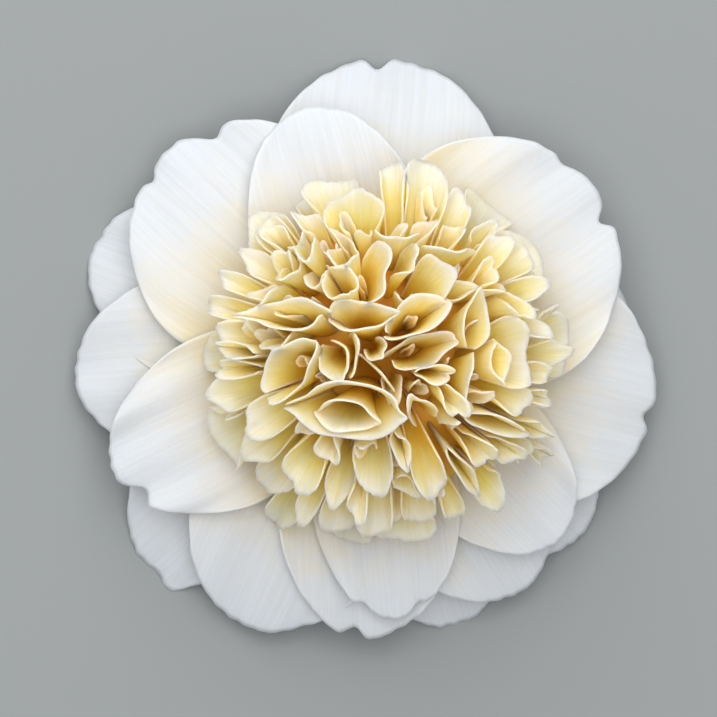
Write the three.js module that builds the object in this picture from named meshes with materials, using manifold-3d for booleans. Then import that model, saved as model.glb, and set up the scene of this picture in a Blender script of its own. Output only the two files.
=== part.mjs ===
// A camellia bloom of the anemone form, lying face up as it was picked.
// Broad white guard petals spread in three layers round a domed mound of small cream petaloids,
// and a cup of green sepals holds them from below, with the scar where the bloom left its twig.
// Millimetres, +Z up, +X to the right and +Y to the back; the origin is the middle of the scar.
import * as THREE from "three";
import { mergeVertices } from "three/addons/utils/BufferGeometryUtils.js";
import Module from "manifold-3d";

const DEGREE = Math.PI / 180;

// ---- Driving dimensions ----
const SCAR_RADIUS = 2.6; // the flat spot under the calyx
const SEAM = 0.3; // clearance between neighbouring nodes

const GUARD_THICKNESS = 0.8;
const GUARD_ROOT_RADIUS = 3.2; // how far from the axis a guard petal starts, inside the receptacle
const RECEPTACLE_RADIUS = 6.2;
const RECEPTACLE_BOTTOM = 4.6;
const RECEPTACLE_TOP = 9.2;
// Guard petals lie in layers, 0 outermost and lowest, 2 innermost. A petal may lie between two layers.
const ROOT_HEIGHT = 5.9; // of the outermost layer, inside the receptacle
const ROOT_STEP = 1.2; // from one layer to the next
const CREST_HEIGHT = 9.4; // of the outermost layer, halfway to the tips
const CREST_STEP = 1.7;

const PETALOID_THICKNESS = 0.65;
const MOUND_RADIUS = 29.2; // from the mound's middle to the tips of the lowest petaloids
const MOUND_RISE = 25; // from the widest level of the mound to its crown
const MOUND_LEVEL = 16.2; // height of that widest level
const MOUND_OFFSET = [2.3, -1.4]; // the mound sits a little to one side
const WHORL_COUNT = 120; // places for petaloids that follow the golden angle from the crown down
const HIGHEST_POLAR = 10 * DEGREE; // from the axis to the highest whorl petaloids, from the mound's middle
const SHOULDER_POLAR = 50 * DEGREE; // those below this are broad spoons, those above it small cups
const LOWEST_POLAR = 93 * DEGREE;
const BERTH = 1.8; // how far the upper part of a whorl petaloid keeps from the others
const UPPER_LEVELS = [0.8, 1]; // levels of a petaloid, as shares of its length, that keep clear
const UPPER_POINTS = 17; // places across it that are tried at each level
const FREE_LEVELS = [0.55, 0.7, 0.8, 0.9, 1]; // levels of those that it keeps clear of
const FREE_POINTS = 33;
const UNEVEN_DEPTH = 0.8; // how far a mouth may lie above or below its place
const PIT = [2.7, -3]; // where the crown is hollow
const PIT_DEPTH = 6;
const PIT_RADIUS = 5.5;
const CORE_RADIUS = 21;
const CORE_RISE = 14;
const CORE_LEVEL = 15.8;
const CORE_SHOULDER = 14; // underside of the core where it flares over the guard petals
const CORE_FOOT_RADIUS = 2;
const CORE_STEPS = [85, 64, 43, 22]; // angles from the axis at which the core's profile has a corner
// Radius and height of the corners of the core's sunken crown.
const CORE_HOLLOW = [
  [4.2, 26.8],
  [0, 25.6],
];
const CORE_SIDES = 14;
const STEEPEST = 0.35; // steepness past which a tip no longer keeps its heading seen from above
const WIDEST_SHARE = 0.995; // how close to the mound's widest a chosen petaloid's axis may start
const PETALOID_LENGTH = 14; // from its foot in the core to its rim
// A blade that stands out of the mound or leans out of it is longer, so that its foot is in the core.
const DROP_STRETCH = 1.2; // longer by this for each millimetre that its mouth stands out
const LEAN_STRETCH = 0.12; // and by this for each degree that it leans
const PETALOID_FOOT = 0.3; // size of the foot as a share of the mouth
const PETALOID_BELLY = 1.2; // how late it widens
const PETALOID_FALL = 2.2; // how suddenly its rim falls back towards the open side
const GOLDEN_ANGLE = 137.508 * DEGREE;

// ---- Small forms of a petaloid ----
// RIM_WAVE, RIM_WAVES, CRUMPLE and FLARE are a middle value and how far a seeded draw takes it from that.
const RIM_WAVE = [0.7, 0.3]; // height of the waves in its rim
const RIM_WAVES = [2.5, 0.8]; // how many there are
const CRUMPLE = [0.12, 0.05]; // how far the line of its fold wanders, as a share of the mouth
const CRUMPLES = [2.7, 6.3]; // how often it does, broadly and finely
const FLARE = [0.5, 0.3]; // how far the last of its rim turns out
const FLARE_LATE = 8; // how late that starts
const FLARE_WAVE = [0.6, 3.1]; // share by which it differs round the mouth, and how often

// Whorl petaloids. Those under the shoulder are broad spoons, the others small cups. Their traits are as
// for the chosen ones, except that heading is how far a draw turns a tip from outwards.
const LOW_SPOON = { heading: 30, lean: 12, halfLength: 2.2, halfWidth: 4.6, gap: [80, 170] };
const HIGH_CUP = { heading: 120, lean: 5, halfLength: 2.8, halfWidth: 2.6, gap: [30, 120] };
const WHORL_DRAWS = { bearing: 0.12, lean: 8, halfLength: 0.9, halfWidth: 1 };
const WHORL_DROP = 0.6;
const WHORL_OPEN = [0.6, 0.4]; // share of the way from the small gap to the large one
const WHORL_PEAK = [0.3, 0.3];
const WHORL_FALL = [0.3, 0.12];
const WHORL_FIRST = 100; // number of the first whorl petaloid
const SEED = 11;

// ---- Colours ----
const COLOURS = {
  guard_petals: { color: 0xeeefef, roughness: 0.55 },
  petaloids: { color: 0xf0d896, roughness: 0.55 },
  calyx: { color: 0x8a8f4e, roughness: 0.7 },
};

// ---- Guard petals, anticlockwise from the right ----
// Each is [bearing, reach, width, layer, tip, cup, wave, notches].
// bearing: where the petal points, degrees from +X. reach: axis to tip. width: across its widest.
// layer: 0 outermost. tip: height of its tip. cup: how far its sides curl up near the root and at
// the margin, in degrees of arc. wave: height and number of its waves, and where they start.
// notches: [place across, -1 to 1, depth as a share of the length, width]; a bulge has a depth under 0.
const GUARD_PETALS = [
  [8, 42.5, 28, 0, 0, [8, 4], [0.4, 2.2, 0.4], []],
  [33, 43.5, 40, 1.8, 9.5, [22, 14], [0.9, 3.6, 0.9], [[-0.17, 0.05, 0.07], [0.35, 0.02, 0.1]]],
  [83, 45.5, 38, 0, 0, [10, 6], [0.5, 2.6, 0.2], [[0.15, 0.05, 0.09]]],
  [104, 38, 26, 1.5, 9.8, [20, 20], [0.4, 2.1, 1.2], []],
  [137, 43, 38, 0.8, 5.6, [12, 8], [0.6, 3.1, 2.2], [[-0.42, 0.05, 0.1], [0.18, 0.03, 0.07]]],
  [160, 44.5, 30, -0.2, 0, [8, 4], [0.3, 2.4, 0.1], []],
  [186, 44.8, 30, 0.2, 2.8, [8, 8], [0.4, 2.3, 0.6], []],
  [207, 43.2, 27, 1.8, 9, [24, 14], [0.9, 3.6, 2.0], [[0.3, 0.05, 0.12]]],
  [225, 47.5, 29, 0, 0, [6, 4], [0.4, 2.0, 1.4], [[0.42, -0.05, 0.16]]],
  [247, 47, 33, 0.8, 3.2, [10, 6], [0.5, 2.5, 0.9], []],
  [271, 45.2, 28, 1.3, 6, [14, 10], [0.5, 2.2, 2.6], [[-0.16, 0.035, 0.09]]],
  [277, 42.2, 23, 2, 9.5, [26, 22], [0.5, 2.8, 0.5], [[0.3, 0.03, 0.12], [-0.45, 0.03, 0.1]]],
  [290, 46.2, 27, 0, 0, [8, 4], [0.4, 2.2, 0.3], []],
  [303, 45.5, 29, 1.1, 4.4, [14, 10], [0.5, 2.4, 1.7], []],
  [316, 42.5, 24, 1.7, 9.5, [24, 24], [0.4, 2.6, 2.4], []],
  [320, 45.6, 28, 0.2, 1.6, [8, 4], [0.4, 2.1, 0.2], []],
  [347, 46.8, 39, 0.9, 4.4, [14, 10], [0.7, 2.8, 1.1], [[-0.02, 0.035, 0.07]]],
];

// ---- The chosen petaloids ----
// Each is [x, y, drop, heading, lean, half length, half width, gap, peak, fall].
// x, y: where the middle of its mouth stands. drop: how far the mouth lies under the mound's plain
// surface. heading: where its tip points, degrees from +X seen from above. lean: how far it leans that
// way, degrees. half length, half width: from the middle of the mouth to the tip and to either side.
// gap: degrees of the mouth that stay open behind. peak: 0 for an oval mouth to 1 for one with sharp
// ends. fall: how far the rim falls back behind, as a share of the length.
const CHOSEN_PETALOIDS = [
  [-14, 5.5, 0, -176, 0, 6.75, 2, 30, 0.6, 0.1],
  [-3.5, 5.5, 0, 0, 0, 5, 2.25, 20, 0.6, 0.1],
  [5, 5, 0, 28, 0, 5.25, 2.25, 25, 0.7, 0.1],
  [-6.5, 10.5, 0, -50, 0, 3.25, 2.25, 30, 0.5, 0.12],
  [-11, 16, 0, -75, 0, 3.25, 1.5, 80, 0.1, 0.2],
  [-5.5, 15.5, 0, -90, 0, 3.25, 2, 60, 0.1, 0.2],
  [-1.5, 12.5, 0, 0, 12, 2.75, 5, 150, 0, 0.3],
  [-14, -3, 0.3, 50, 0, 6.25, 3.25, 20, 0.3, 0.12],
  [-7.5, -1, 0, -60, 5, 3, 2.25, 60, 0.6, 0.2],
  [-5, -0.5, 0, 0, 4, 1.25, 3.75, 150, 0.1, 0.3],
  [-21.5, 0, 0, 165, 0, 3.75, 1, 20, 0.6, 0.15],
  [-21.5, -3, 0.5, 180, 0, 4, 1, 60, 0.4, 0.2],
  [-5.5, -9, -0.6, -3, 0, 9.25, 4, 14, 0.6, 0.08],
  [-5.5, -10, 0, -5, 0, 4.75, 2.25, 14, 0.5, 0.08],
  [6, 0, 0, 15, 0, 5.5, 2.25, 40, 0.5, 0.15],
  [15, 4, 0, 90, 0, 4.25, 2, 60, 0.2, 0.2],
  [15, -5, 0, 180, 8, 2, 4.75, 150, 0.1, 0.3],
  [18.5, -1.5, 0, -90, 0, 3.5, 1.25, 30, 0.5, 0.15],
  [21.5, -0.5, 0, 0, 10, 2.25, 6, 150, 0.1, 0.3],
  [2, -5, 0, -90, 0, 2, 1.5, 120, 0, 0.2],
  [-1, -3.5, 0, 45, 0, 0.75, 4.25, 170, 0.1, 0.2],
  [-1, 0.5, -0.6, -45, 4, 1.75, 1.75, 120, 0.3, 0.2],
  [8, -3.5, 0, 0, 0, 2.75, 1, 30, 0.5, 0.15],
  [11, -7.5, 0, -60, 5, 2.5, 1.25, 60, 0.4, 0.2],
  [6.5, -10, 0, 120, 8, 3.25, 2.25, 120, 0.4, 0.3],
  [8, 11.5, 0, 10, 8, 2, 4, 160, 0.1, 0.3],
  [3.5, 14.5, 0, -20, 6, 2, 3, 150, 0.1, 0.3],
  [18.5, 11, 0, -70, 8, 2, 3, 150, 0.1, 0.3],
  [11.5, 17, 0, -80, 10, 2, 5, 150, 0.1, 0.3],
  [-4, 22, 0, 60, 5, 2.5, 5, 140, 0.1, 0.3],
  [8, 25.5, -2.5, 86, 24, 3.25, 4.5, 140, 0.25, 0.4],
  [3, 26, -1.5, 98, 22, 2.5, 2.5, 130, 0.2, 0.35],
  [13.5, 23, -1, 70, 15, 2.25, 2.5, 130, 0.1, 0.4],
  [3, 19, 0, -90, 8, 2.25, 3.25, 130, 0.2, 0.3],
  [-2.5, 19.5, 0, -100, 6, 2, 1.25, 100, 0.2, 0.3],
  [-14.5, 13.5, 0, -80, 8, 3, 2, 100, 0.1, 0.3],
  [-16.5, 19, 0, 150, 12, 2.25, 2.75, 130, 0.2, 0.4],
  [-19.5, 14.5, 0, 160, 15, 2.25, 2, 140, 0.2, 0.4],
  [-22.5, 11, 0, 168, 15, 2.25, 1.75, 140, 0.3, 0.4],
  [-24.5, 7, -1, -175, 20, 3.25, 2, 120, 0.6, 0.5],
  [-18.5, 9, 0, -75, 8, 2, 4, 150, 0.1, 0.3],
  [-16.5, 2, 0.5, -80, 8, 1.5, 3, 150, 0.1, 0.25],
  [-23.5, -7, 0, -160, 15, 2.5, 3, 140, 0.2, 0.4],
  [-24, 3, 0.5, -170, 12, 2.25, 2.25, 140, 0.2, 0.4],
  [-18.5, -11, 0, -145, 20, 3, 3.5, 140, 0.2, 0.45],
  [-19.5, -16, 0, -125, 22, 3, 3.25, 140, 0.3, 0.45],
  [-17, -21.5, 0, -120, 25, 3.25, 4, 140, 0.2, 0.45],
  [-12, -19, 0, -105, 15, 3.75, 3.25, 110, 0.5, 0.4],
  [-6.5, -22, 0, -95, 15, 3.25, 2.5, 120, 0.3, 0.4],
  [-14.5, -27, -0.5, -112, 24, 2.75, 3.25, 140, 0.3, 0.45],
  [-11, -25.5, -0.5, -100, 25, 2.25, 2.25, 140, 0.3, 0.45],
  [-6, -27.5, -0.5, -98, 25, 3, 3.25, 140, 0.3, 0.45],
  [-3, -24.5, 0, -90, 15, 2.75, 1.5, 100, 0.2, 0.3],
  [0, -28, -1, -90, 25, 2.75, 3.25, 140, 0.1, 0.3],
  [-1, -19, 0, -75, 22, 4.25, 3.5, 140, 0.05, 0.3],
  [8, -19.5, 0, -70, 20, 4.25, 2.75, 130, 0.1, 0.3],
  [3, -15, 0, -64, 0, 2.75, 0.75, 24, 0.6, 0.15],
  [13, -18.5, 0, -52, 0, 5.25, 0.75, 24, 0.6, 0.15],
  [18, -22, 0, -70, 5, 3, 2.5, 80, 0.2, 0.25],
  [18, -11.5, 0, -12, 0, 6, 1.25, 30, 0.8, 0.2],
  [15.5, -15.5, 0, -35, 0, 2.75, 1.5, 50, 0.5, 0.25],
  [20, -15.5, 0, -25, 4, 3.25, 1.25, 40, 0.6, 0.25],
  [25, -12.5, 0, -15, 8, 3.25, 1.25, 40, 0.6, 0.3],
  [27, -16.5, 0, -12, 8, 3.75, 1.25, 40, 0.6, 0.3],
  [25.5, -3.5, 0, -10, 8, 3.25, 1.5, 60, 0.4, 0.3],
  [29, -0.5, 0, 20, 15, 2, 2, 120, 0.2, 0.4],
  [26, -7.5, 0, -8, 8, 2.5, 1, 60, 0.4, 0.3],
  [21.5, -7.5, 0, -45, 12, 2.25, 2.25, 130, 0.2, 0.35],
  [25, 4, 0, -60, 10, 2, 2.25, 130, 0.2, 0.35],
  [21.5, 7.5, 0, -60, 6, 2.75, 1.75, 80, 0.2, 0.25],
  [23, 14.5, 0, 25, 15, 2, 2.5, 140, 0.2, 0.4],
  [19, 16, 0, 55, 12, 2, 2.5, 140, 0.2, 0.4],
  [24.5, 10, 0, -20, 10, 2.25, 2.25, 130, 0.3, 0.35],
  [7.5, -27.5, 1, -85, 25, 2.75, 3, 140, 0.2, 0.45],
  [13, -26, 0, -70, 15, 2.5, 1.75, 100, 0.2, 0.4],
];

// Facets of a petaloid along it, and across one that is nearly closed and one that stands open.
const PETALOID_ALONG = 2;
const CUP_ACROSS = 6;
const SPOON_ACROSS = 4;
const WIDEST_CUP = 100 * DEGREE; // gap over which it counts as a spoon

// The outline of each kind of flat blade. base: width at the root as a share of the widest. swell: how
// late it widens. round: how far the corners of the tip fall back. along, across: facets each way.
const GUARD_FORM = { base: 0.24, swell: 0.9, round: 0.5, along: 4, across: 7 };
const SEPAL_FORM = { base: 0.6, swell: 0.7, round: 0.6, along: 3, across: 3 };

const ROUNDED_SHARE = 0.97; // how much of the half circle over a blade's tip is used
const FULLEST = 0.58 * Math.PI; // a blade's width follows a sine up to this angle at its tip
const CALM_MIDDLE = 0.35; // height of a blade's waves in its middle, as a share of those at its sides

const SEPALS_IN_RING = 5;
const SEPAL_THICKNESS = 0.9;
const SEPAL_CUP = [80 * DEGREE, 60 * DEGREE]; // how far its sides curl up at the root and at the tip
// Root, bend and tip of a sepal as [radius, height], its width and the bearing of the first one.
const SEPAL_RINGS = [
  { root: [2.4, 1.2], bend: [5.6, 0.9], tip: [8.6, 3.4], width: 8.4, first: 20 },
  { root: [2.4, 2.2], bend: [6.6, 2.3], tip: [10.4, 5.9], width: 9.2, first: 56 },
];

const wasm = await Module();
wasm.setup();

const mix = (from, to, share) => from + (to - from) * share;

/** A repeatable draw from -1 to 1 for one trait of one petaloid. */
function draw(index, trait) {
  let hash = Math.imul(index + 1, 374761393) ^ Math.imul(trait + SEED, 668265263);
  hash = Math.imul(hash ^ (hash >>> 13), 1274126177);
  hash ^= hash >>> 16;
  return ((hash >>> 0) / 4294967296) * 2 - 1;
}

/** A middle value changed by a draw. */
const vary = ([middle, spread], index, trait) => middle + spread * draw(index, trait);

/** How far along its spine the tip line of a sheet lies at u across it, 1 at a plain tip. */
function tipLine(sheet, u) {
  let line = 1 - sheet.form.round * (1 - Math.sqrt(1 - (ROUNDED_SHARE * u) ** 2));
  for (const [place, depth, width] of sheet.notches) {
    line -= depth * Math.exp(-(((u - place) / width) ** 2));
  }
  return line;
}

/**
 * A point of a petal's middle sheet, u from -1 to 1 across it and v from 0 at the root to 1 at the tip.
 * The sheet fans out along a curved spine, its sides curl up by an arc, and its margin waves.
 */
function sheetPoint(sheet, u, v) {
  const { root, bend, tip, form } = sheet;
  const s = v * tipLine(sheet, u);
  const point = new THREE.Vector3()
    .addScaledVector(root, (1 - s) ** 2)
    .addScaledVector(bend, 2 * s * (1 - s))
    .addScaledVector(tip, s * s);
  const heading = new THREE.Vector3()
    .addScaledVector(root, s - 1)
    .addScaledVector(bend, 1 - 2 * s)
    .addScaledVector(tip, s)
    .normalize();
  const side = sheet.side.clone().addScaledVector(heading, -sheet.side.dot(heading)).normalize();
  const face = new THREE.Vector3().crossVectors(heading, side);

  const fullness = Math.sin(FULLEST * v) ** form.swell;
  const half = (sheet.width / 2) * mix(form.base, 1, fullness);
  const arc = mix(sheet.cup[0], sheet.cup[1], v);
  const curve = arc / (2 * half);
  const reach = u * half;
  const [height, count, start] = sheet.wave;
  const margin = v ** 3 * mix(CALM_MIDDLE, 1, u * u);
  const ripple = height * margin * Math.sin(Math.PI * count * u + start);
  return point
    .addScaledVector(side, Math.sin(curve * reach) / curve)
    .addScaledVector(face, (1 - Math.cos(curve * reach)) / curve + ripple);
}

/**
 * A closed blade of even thickness, both faces split into the same triangles. pointAt gives the middle
 * sheet at u from -1 to 1 across it and v from 0 at the root to 1 at the tip.
 */
function blade(pointAt, { along, across }, thickness, rests = false) {
  const columns = across + 1;
  const rows = along + 1;
  const grid = [];
  for (let j = 0; j < rows; j++) {
    for (let i = 0; i < columns; i++) grid.push(pointAt((2 * i) / across - 1, j / along));
  }
  const at = (i, j) => grid[Math.min(Math.max(j, 0), along) * columns + Math.min(Math.max(i, 0), across)];
  const faces = [[], []];
  for (let j = 0; j < rows; j++) {
    for (let i = 0; i < columns; i++) {
      const normal = new THREE.Vector3()
        .subVectors(at(i, j + 1), at(i, j - 1))
        .cross(new THREE.Vector3().subVectors(at(i + 1, j), at(i - 1, j)))
        .normalize();
      faces[0].push(at(i, j).clone().addScaledVector(normal, thickness / 2));
      faces[1].push(at(i, j).clone().addScaledVector(normal, -thickness / 2));
    }
  }
  const points = [...faces[0], ...faces[1]];
  if (rests) for (const p of points) p.z = Math.max(p.z, 0);
  const under = rows * columns;
  const triangles = [];
  const quad = (a, b, c, d) => triangles.push(a, b, c, a, c, d);
  for (let j = 0; j < along; j++) {
    for (let i = 0; i < across; i++) {
      const a = j * columns + i;
      const b = a + 1;
      const c = b + columns;
      const d = a + columns;
      quad(a, d, c, b);
      triangles.push(under + a, under + c, under + d, under + a, under + b, under + c);
    }
  }
  const rim = [];
  for (let i = 0; i < across; i++) rim.push(i);
  for (let j = 0; j < along; j++) rim.push(j * columns + across);
  for (let i = across; i > 0; i--) rim.push(along * columns + i);
  for (let j = along; j > 0; j--) rim.push(j * columns);
  rim.forEach((a, k) => {
    const b = rim[(k + 1) % rim.length];
    quad(a, b, under + b, under + a);
  });
  return solid(points.flatMap((p) => [p.x, p.y, p.z]), triangles);
}

/** The closed blade of a guard petal or sepal. */
function flatBlade(sheet, thickness) {
  return blade((u, v) => sheetPoint(sheet, u, v), sheet.form, thickness, sheet.rests);
}

/** A manifold-3d solid of a closed mesh. */
function solid(positions, triangles) {
  const mesh = new wasm.Mesh({
    numProp: 3,
    vertProperties: new Float32Array(positions),
    triVerts: new Uint32Array(triangles),
  });
  const made = new wasm.Manifold(mesh);
  if (made.volume() < 0) throw new Error("a blade is inside out");
  return made;
}

/** A solid turned from a profile of [radius, height] points that starts and ends on the axis. */
function turned(profile, segments, [x, y] = [0, 0]) {
  const points = profile.map(([radius, height]) => new THREE.Vector2(radius, height));
  const lathe = new THREE.LatheGeometry(points, segments).rotateX(Math.PI / 2).translate(x, y, 0);
  lathe.deleteAttribute("normal");
  lathe.deleteAttribute("uv");
  const merged = mergeVertices(lathe, 1e-4);
  return solid(merged.attributes.position.array, merged.index.array);
}

/** Joins solids in one body. Hollows that the joining seals are filled, and loose scraps dropped. */
function fuse(solids) {
  const joined = solids.reduce((whole, piece) => whole.add(piece));
  return joined.decompose().reduce((best, body) => (body.volume() > best.volume() ? body : best));
}

/** A named mesh of a solid in its own colour. */
function meshOf(name, body) {
  const { vertProperties, triVerts, numProp } = body.getMesh();
  const geometry = new THREE.BufferGeometry();
  geometry.setAttribute("position", new THREE.BufferAttribute(new Float32Array(vertProperties), numProp));
  geometry.setIndex(new THREE.BufferAttribute(triVerts, 1));
  geometry.computeVertexNormals();
  const mesh = new THREE.Mesh(geometry, new THREE.MeshStandardMaterial(COLOURS[name]));
  mesh.name = name;
  return mesh;
}

/** The sheet of a guard petal: it rises from the receptacle, crests under the mound and spreads. */
function guardSheet([bearing, reach, width, layer, tip, cup, wave, notches]) {
  const angle = bearing * DEGREE;
  const out = new THREE.Vector3(Math.cos(angle), Math.sin(angle), 0);
  const at = (radius, height) => out.clone().multiplyScalar(radius).setZ(height);
  const rootHeight = ROOT_HEIGHT + layer * ROOT_STEP;
  const crestHeight = CREST_HEIGHT + layer * CREST_STEP;
  // The middle of the spine lies at the crest, halfway between its ends and its bend.
  const bendHeight = 2 * crestHeight - (rootHeight + tip) / 2;
  return {
    root: at(GUARD_ROOT_RADIUS, rootHeight),
    bend: at(0.5 * reach, bendHeight),
    tip: at(reach, tip),
    side: new THREE.Vector3(-Math.sin(angle), Math.cos(angle), 0),
    form: GUARD_FORM,
    cup: cup.map((degrees) => degrees * DEGREE),
    width,
    wave,
    notches,
    rests: true,
  };
}

/** How much lower the crown is over a place near the pit. */
function pitDepth(x, y) {
  const away = Math.hypot(x - PIT[0], y - PIT[1]) / PIT_RADIUS;
  return PIT_DEPTH * Math.exp(-away * away);
}

/** Height of the mound's plain surface over a place. */
function moundHeight(x, y) {
  const across = Math.hypot(x - MOUND_OFFSET[0], y - MOUND_OFFSET[1]) / MOUND_RADIUS;
  return MOUND_LEVEL + MOUND_RISE * Math.sqrt(Math.max(0, 1 - across * across)) - pitDepth(x, y);
}

/**
 * A petaloid that grows out of the mound in a direction, polar from the axis and bearing from +X.
 * form is as in the list of the chosen ones, and height is that of the middle of its mouth.
 */
function layPetaloid(number, form, polar, bearing, height) {
  const [x, y, drop, heading, lean, halfLength, halfWidth, gap, peak, fall] = form;
  const out = new THREE.Vector3(Math.cos(bearing), Math.sin(bearing), 0);
  const axis = out.multiplyScalar(Math.sin(polar)).setZ(Math.cos(polar));
  const level = new THREE.Vector3(Math.cos(heading * DEGREE), Math.sin(heading * DEGREE), 0);
  // Seen from above the tip points along the heading: the direction is tilted into the surface.
  const ahead = level.clone().setZ(-level.dot(axis) / Math.max(STEEPEST, axis.z));
  ahead.addScaledVector(axis, -ahead.dot(axis)).normalize();
  const tilt = new THREE.Quaternion().setFromAxisAngle(axis.clone().cross(ahead), lean * DEGREE);
  const mouth = new THREE.Vector3(x, y, height).addScaledVector(axis, -drop - UNEVEN_DEPTH * draw(number, 5));
  axis.applyQuaternion(tilt);
  ahead.applyQuaternion(tilt);
  return {
    mouth,
    axis,
    ahead,
    aside: axis.clone().cross(ahead),
    halfLength,
    halfWidth,
    gap: gap * DEGREE,
    peak,
    fall,
    wave: [vary(RIM_WAVE, number, 9), vary(RIM_WAVES, number, 10), Math.PI * draw(number, 11)],
    crumple: vary(CRUMPLE, number, 12),
    flare: vary(FLARE, number, 13),
    length: PETALOID_LENGTH + DROP_STRETCH * Math.max(0, -drop) + LEAN_STRETCH * lean,
  };
}

/** A point of a petaloid's middle sheet: a blade that rises from a narrow foot and folds to a cup. */
function petaloidPoint(petaloid, u, v) {
  const { mouth, axis, ahead, aside, halfLength, halfWidth, crumple, wave } = petaloid;
  const turn = u * (Math.PI - petaloid.gap / 2);
  const grown = v * (1 - petaloid.fall * Math.abs(u) ** PETALOID_FALL);
  const spread = mix(PETALOID_FOOT, 1, grown ** PETALOID_BELLY);
  const [height, count, phase] = wave;
  const [broad, fine] = CRUMPLES;
  const wander = Math.sin(broad * turn + 2 * phase) + 0.5 * grown ** 2 * Math.sin(fine * turn + phase);
  const fold = 1 + crumple * grown ** 2 * wander;
  const [share, often] = FLARE_WAVE;
  const lip = petaloid.flare * grown ** FLARE_LATE * (1 + share * Math.sin(often * turn + phase));
  const side = Math.sign(turn) * Math.abs(Math.sin(turn)) ** (1 + petaloid.peak);
  const rise = petaloid.length * (grown - 1) + height * grown ** 2 * Math.sin(count * turn + phase);
  return mouth
    .clone()
    .addScaledVector(axis, rise)
    .addScaledVector(ahead, (halfLength * fold * spread + lip) * Math.cos(turn))
    .addScaledVector(aside, (halfWidth * fold * spread + lip) * side);
}

/** A chosen petaloid, on the mound's surface. */
function chosenPetaloid(form, number) {
  const [x, y] = form;
  const away = new THREE.Vector2(x, y).sub(new THREE.Vector2(...MOUND_OFFSET));
  const polar = Math.asin(Math.min(WIDEST_SHARE, away.length() / MOUND_RADIUS));
  return layPetaloid(number, form, polar, Math.atan2(away.y, away.x), moundHeight(x, y));
}

/** A petaloid of the whorls, which follow the golden angle from the crown down. */
function whorlPetaloid(index) {
  const share = (index + 0.5) / WHORL_COUNT;
  const polar = Math.acos(mix(Math.cos(HIGHEST_POLAR), Math.cos(LOWEST_POLAR), share));
  const bearing = index * GOLDEN_ANGLE + WHORL_DRAWS.bearing * draw(index, 2);
  const x = MOUND_OFFSET[0] + MOUND_RADIUS * Math.sin(polar) * Math.cos(bearing);
  const y = MOUND_OFFSET[1] + MOUND_RADIUS * Math.sin(polar) * Math.sin(bearing);
  const kind = polar > SHOULDER_POLAR ? LOW_SPOON : HIGH_CUP;
  const form = [
    x,
    y,
    WHORL_DROP,
    bearing / DEGREE + kind.heading * draw(index, 4),
    kind.lean + WHORL_DRAWS.lean * draw(index, 6),
    kind.halfLength + WHORL_DRAWS.halfLength * draw(index, 7),
    kind.halfWidth + WHORL_DRAWS.halfWidth * draw(index, 8),
    mix(...kind.gap, vary(WHORL_OPEN, index, 3)),
    vary(WHORL_PEAK, index, 14),
    vary(WHORL_FALL, index, 15),
  ];
  const height = MOUND_LEVEL + MOUND_RISE * Math.cos(polar) - pitDepth(x, y);
  return layPetaloid(WHORL_FIRST + index, form, polar, bearing, height);
}

/** Points across a petaloid's middle sheet, count of them at each level. */
function samples(petaloid, levels, count) {
  return levels.flatMap((v) =>
    Array.from({ length: count }, (_, i) => petaloidPoint(petaloid, (2 * i) / (count - 1) - 1, v)),
  );
}

/** Every petaloid: the chosen ones, and those of the whorls whose upper part keeps clear of the others. */
function petaloidForms() {
  const kept = CHOSEN_PETALOIDS.map(chosenPetaloid);
  const skin = kept.flatMap((petaloid) => samples(petaloid, FREE_LEVELS, FREE_POINTS));
  for (let index = 0; index < WHORL_COUNT; index++) {
    const petaloid = whorlPetaloid(index);
    const upper = samples(petaloid, UPPER_LEVELS, UPPER_POINTS);
    if (upper.every((point) => skin.every((other) => other.distanceTo(point) > BERTH))) {
      kept.push(petaloid);
      skin.push(...samples(petaloid, FREE_LEVELS, FREE_POINTS));
    }
  }
  return kept;
}

/** The sheets of the sepals, ring by ring. */
function sepalSheets() {
  return SEPAL_RINGS.flatMap((ring) =>
    Array.from({ length: SEPALS_IN_RING }, (_, index) => {
      const angle = (ring.first + (index * 360) / SEPALS_IN_RING) * DEGREE;
      const at = ([radius, height]) =>
        new THREE.Vector3(radius * Math.cos(angle), radius * Math.sin(angle), height);
      return {
        root: at(ring.root),
        bend: at(ring.bend),
        tip: at(ring.tip),
        side: new THREE.Vector3(-Math.sin(angle), Math.cos(angle), 0),
        form: SEPAL_FORM,
        cup: SEPAL_CUP,
        width: ring.width,
        wave: [0, 1, 0],
        notches: [],
        rests: false,
      };
    }),
  );
}

/** The receptacle with the guard petals that grow from it. */
function guardPetals() {
  const receptacle = turned(
    [
      [0, RECEPTACLE_BOTTOM],
      [4.2, RECEPTACLE_BOTTOM],
      [RECEPTACLE_RADIUS, 6.4],
      [RECEPTACLE_RADIUS, 7.8],
      [4.6, RECEPTACLE_TOP],
      [0, RECEPTACLE_TOP],
    ],
    16,
  );
  const sheets = GUARD_PETALS.map(guardSheet);
  return fuse([receptacle, ...sheets.map((sheet) => flatBlade(sheet, GUARD_THICKNESS))]);
}

/** The core of the mound with the petaloids that stand out of it. */
function petaloids() {
  const foot = [
    [0, RECEPTACLE_TOP + SEAM],
    [CORE_FOOT_RADIUS, RECEPTACLE_TOP + SEAM],
    [CORE_FOOT_RADIUS + 0.6, CORE_SHOULDER - 2.4],
    [0.6 * CORE_RADIUS, CORE_SHOULDER],
  ];
  const crown = CORE_STEPS.map((degrees) => [
    CORE_RADIUS * Math.sin(degrees * DEGREE),
    CORE_LEVEL + CORE_RISE * Math.cos(degrees * DEGREE),
  ]);
  const core = turned([...foot, ...crown, ...CORE_HOLLOW], CORE_SIDES, MOUND_OFFSET);
  const blades = petaloidForms().map((form) => {
    const cells = { along: PETALOID_ALONG, across: form.gap > WIDEST_CUP ? SPOON_ACROSS : CUP_ACROSS };
    return blade((u, v) => petaloidPoint(form, u, v), cells, PETALOID_THICKNESS);
  });
  return fuse([core, ...blades]);
}

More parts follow.
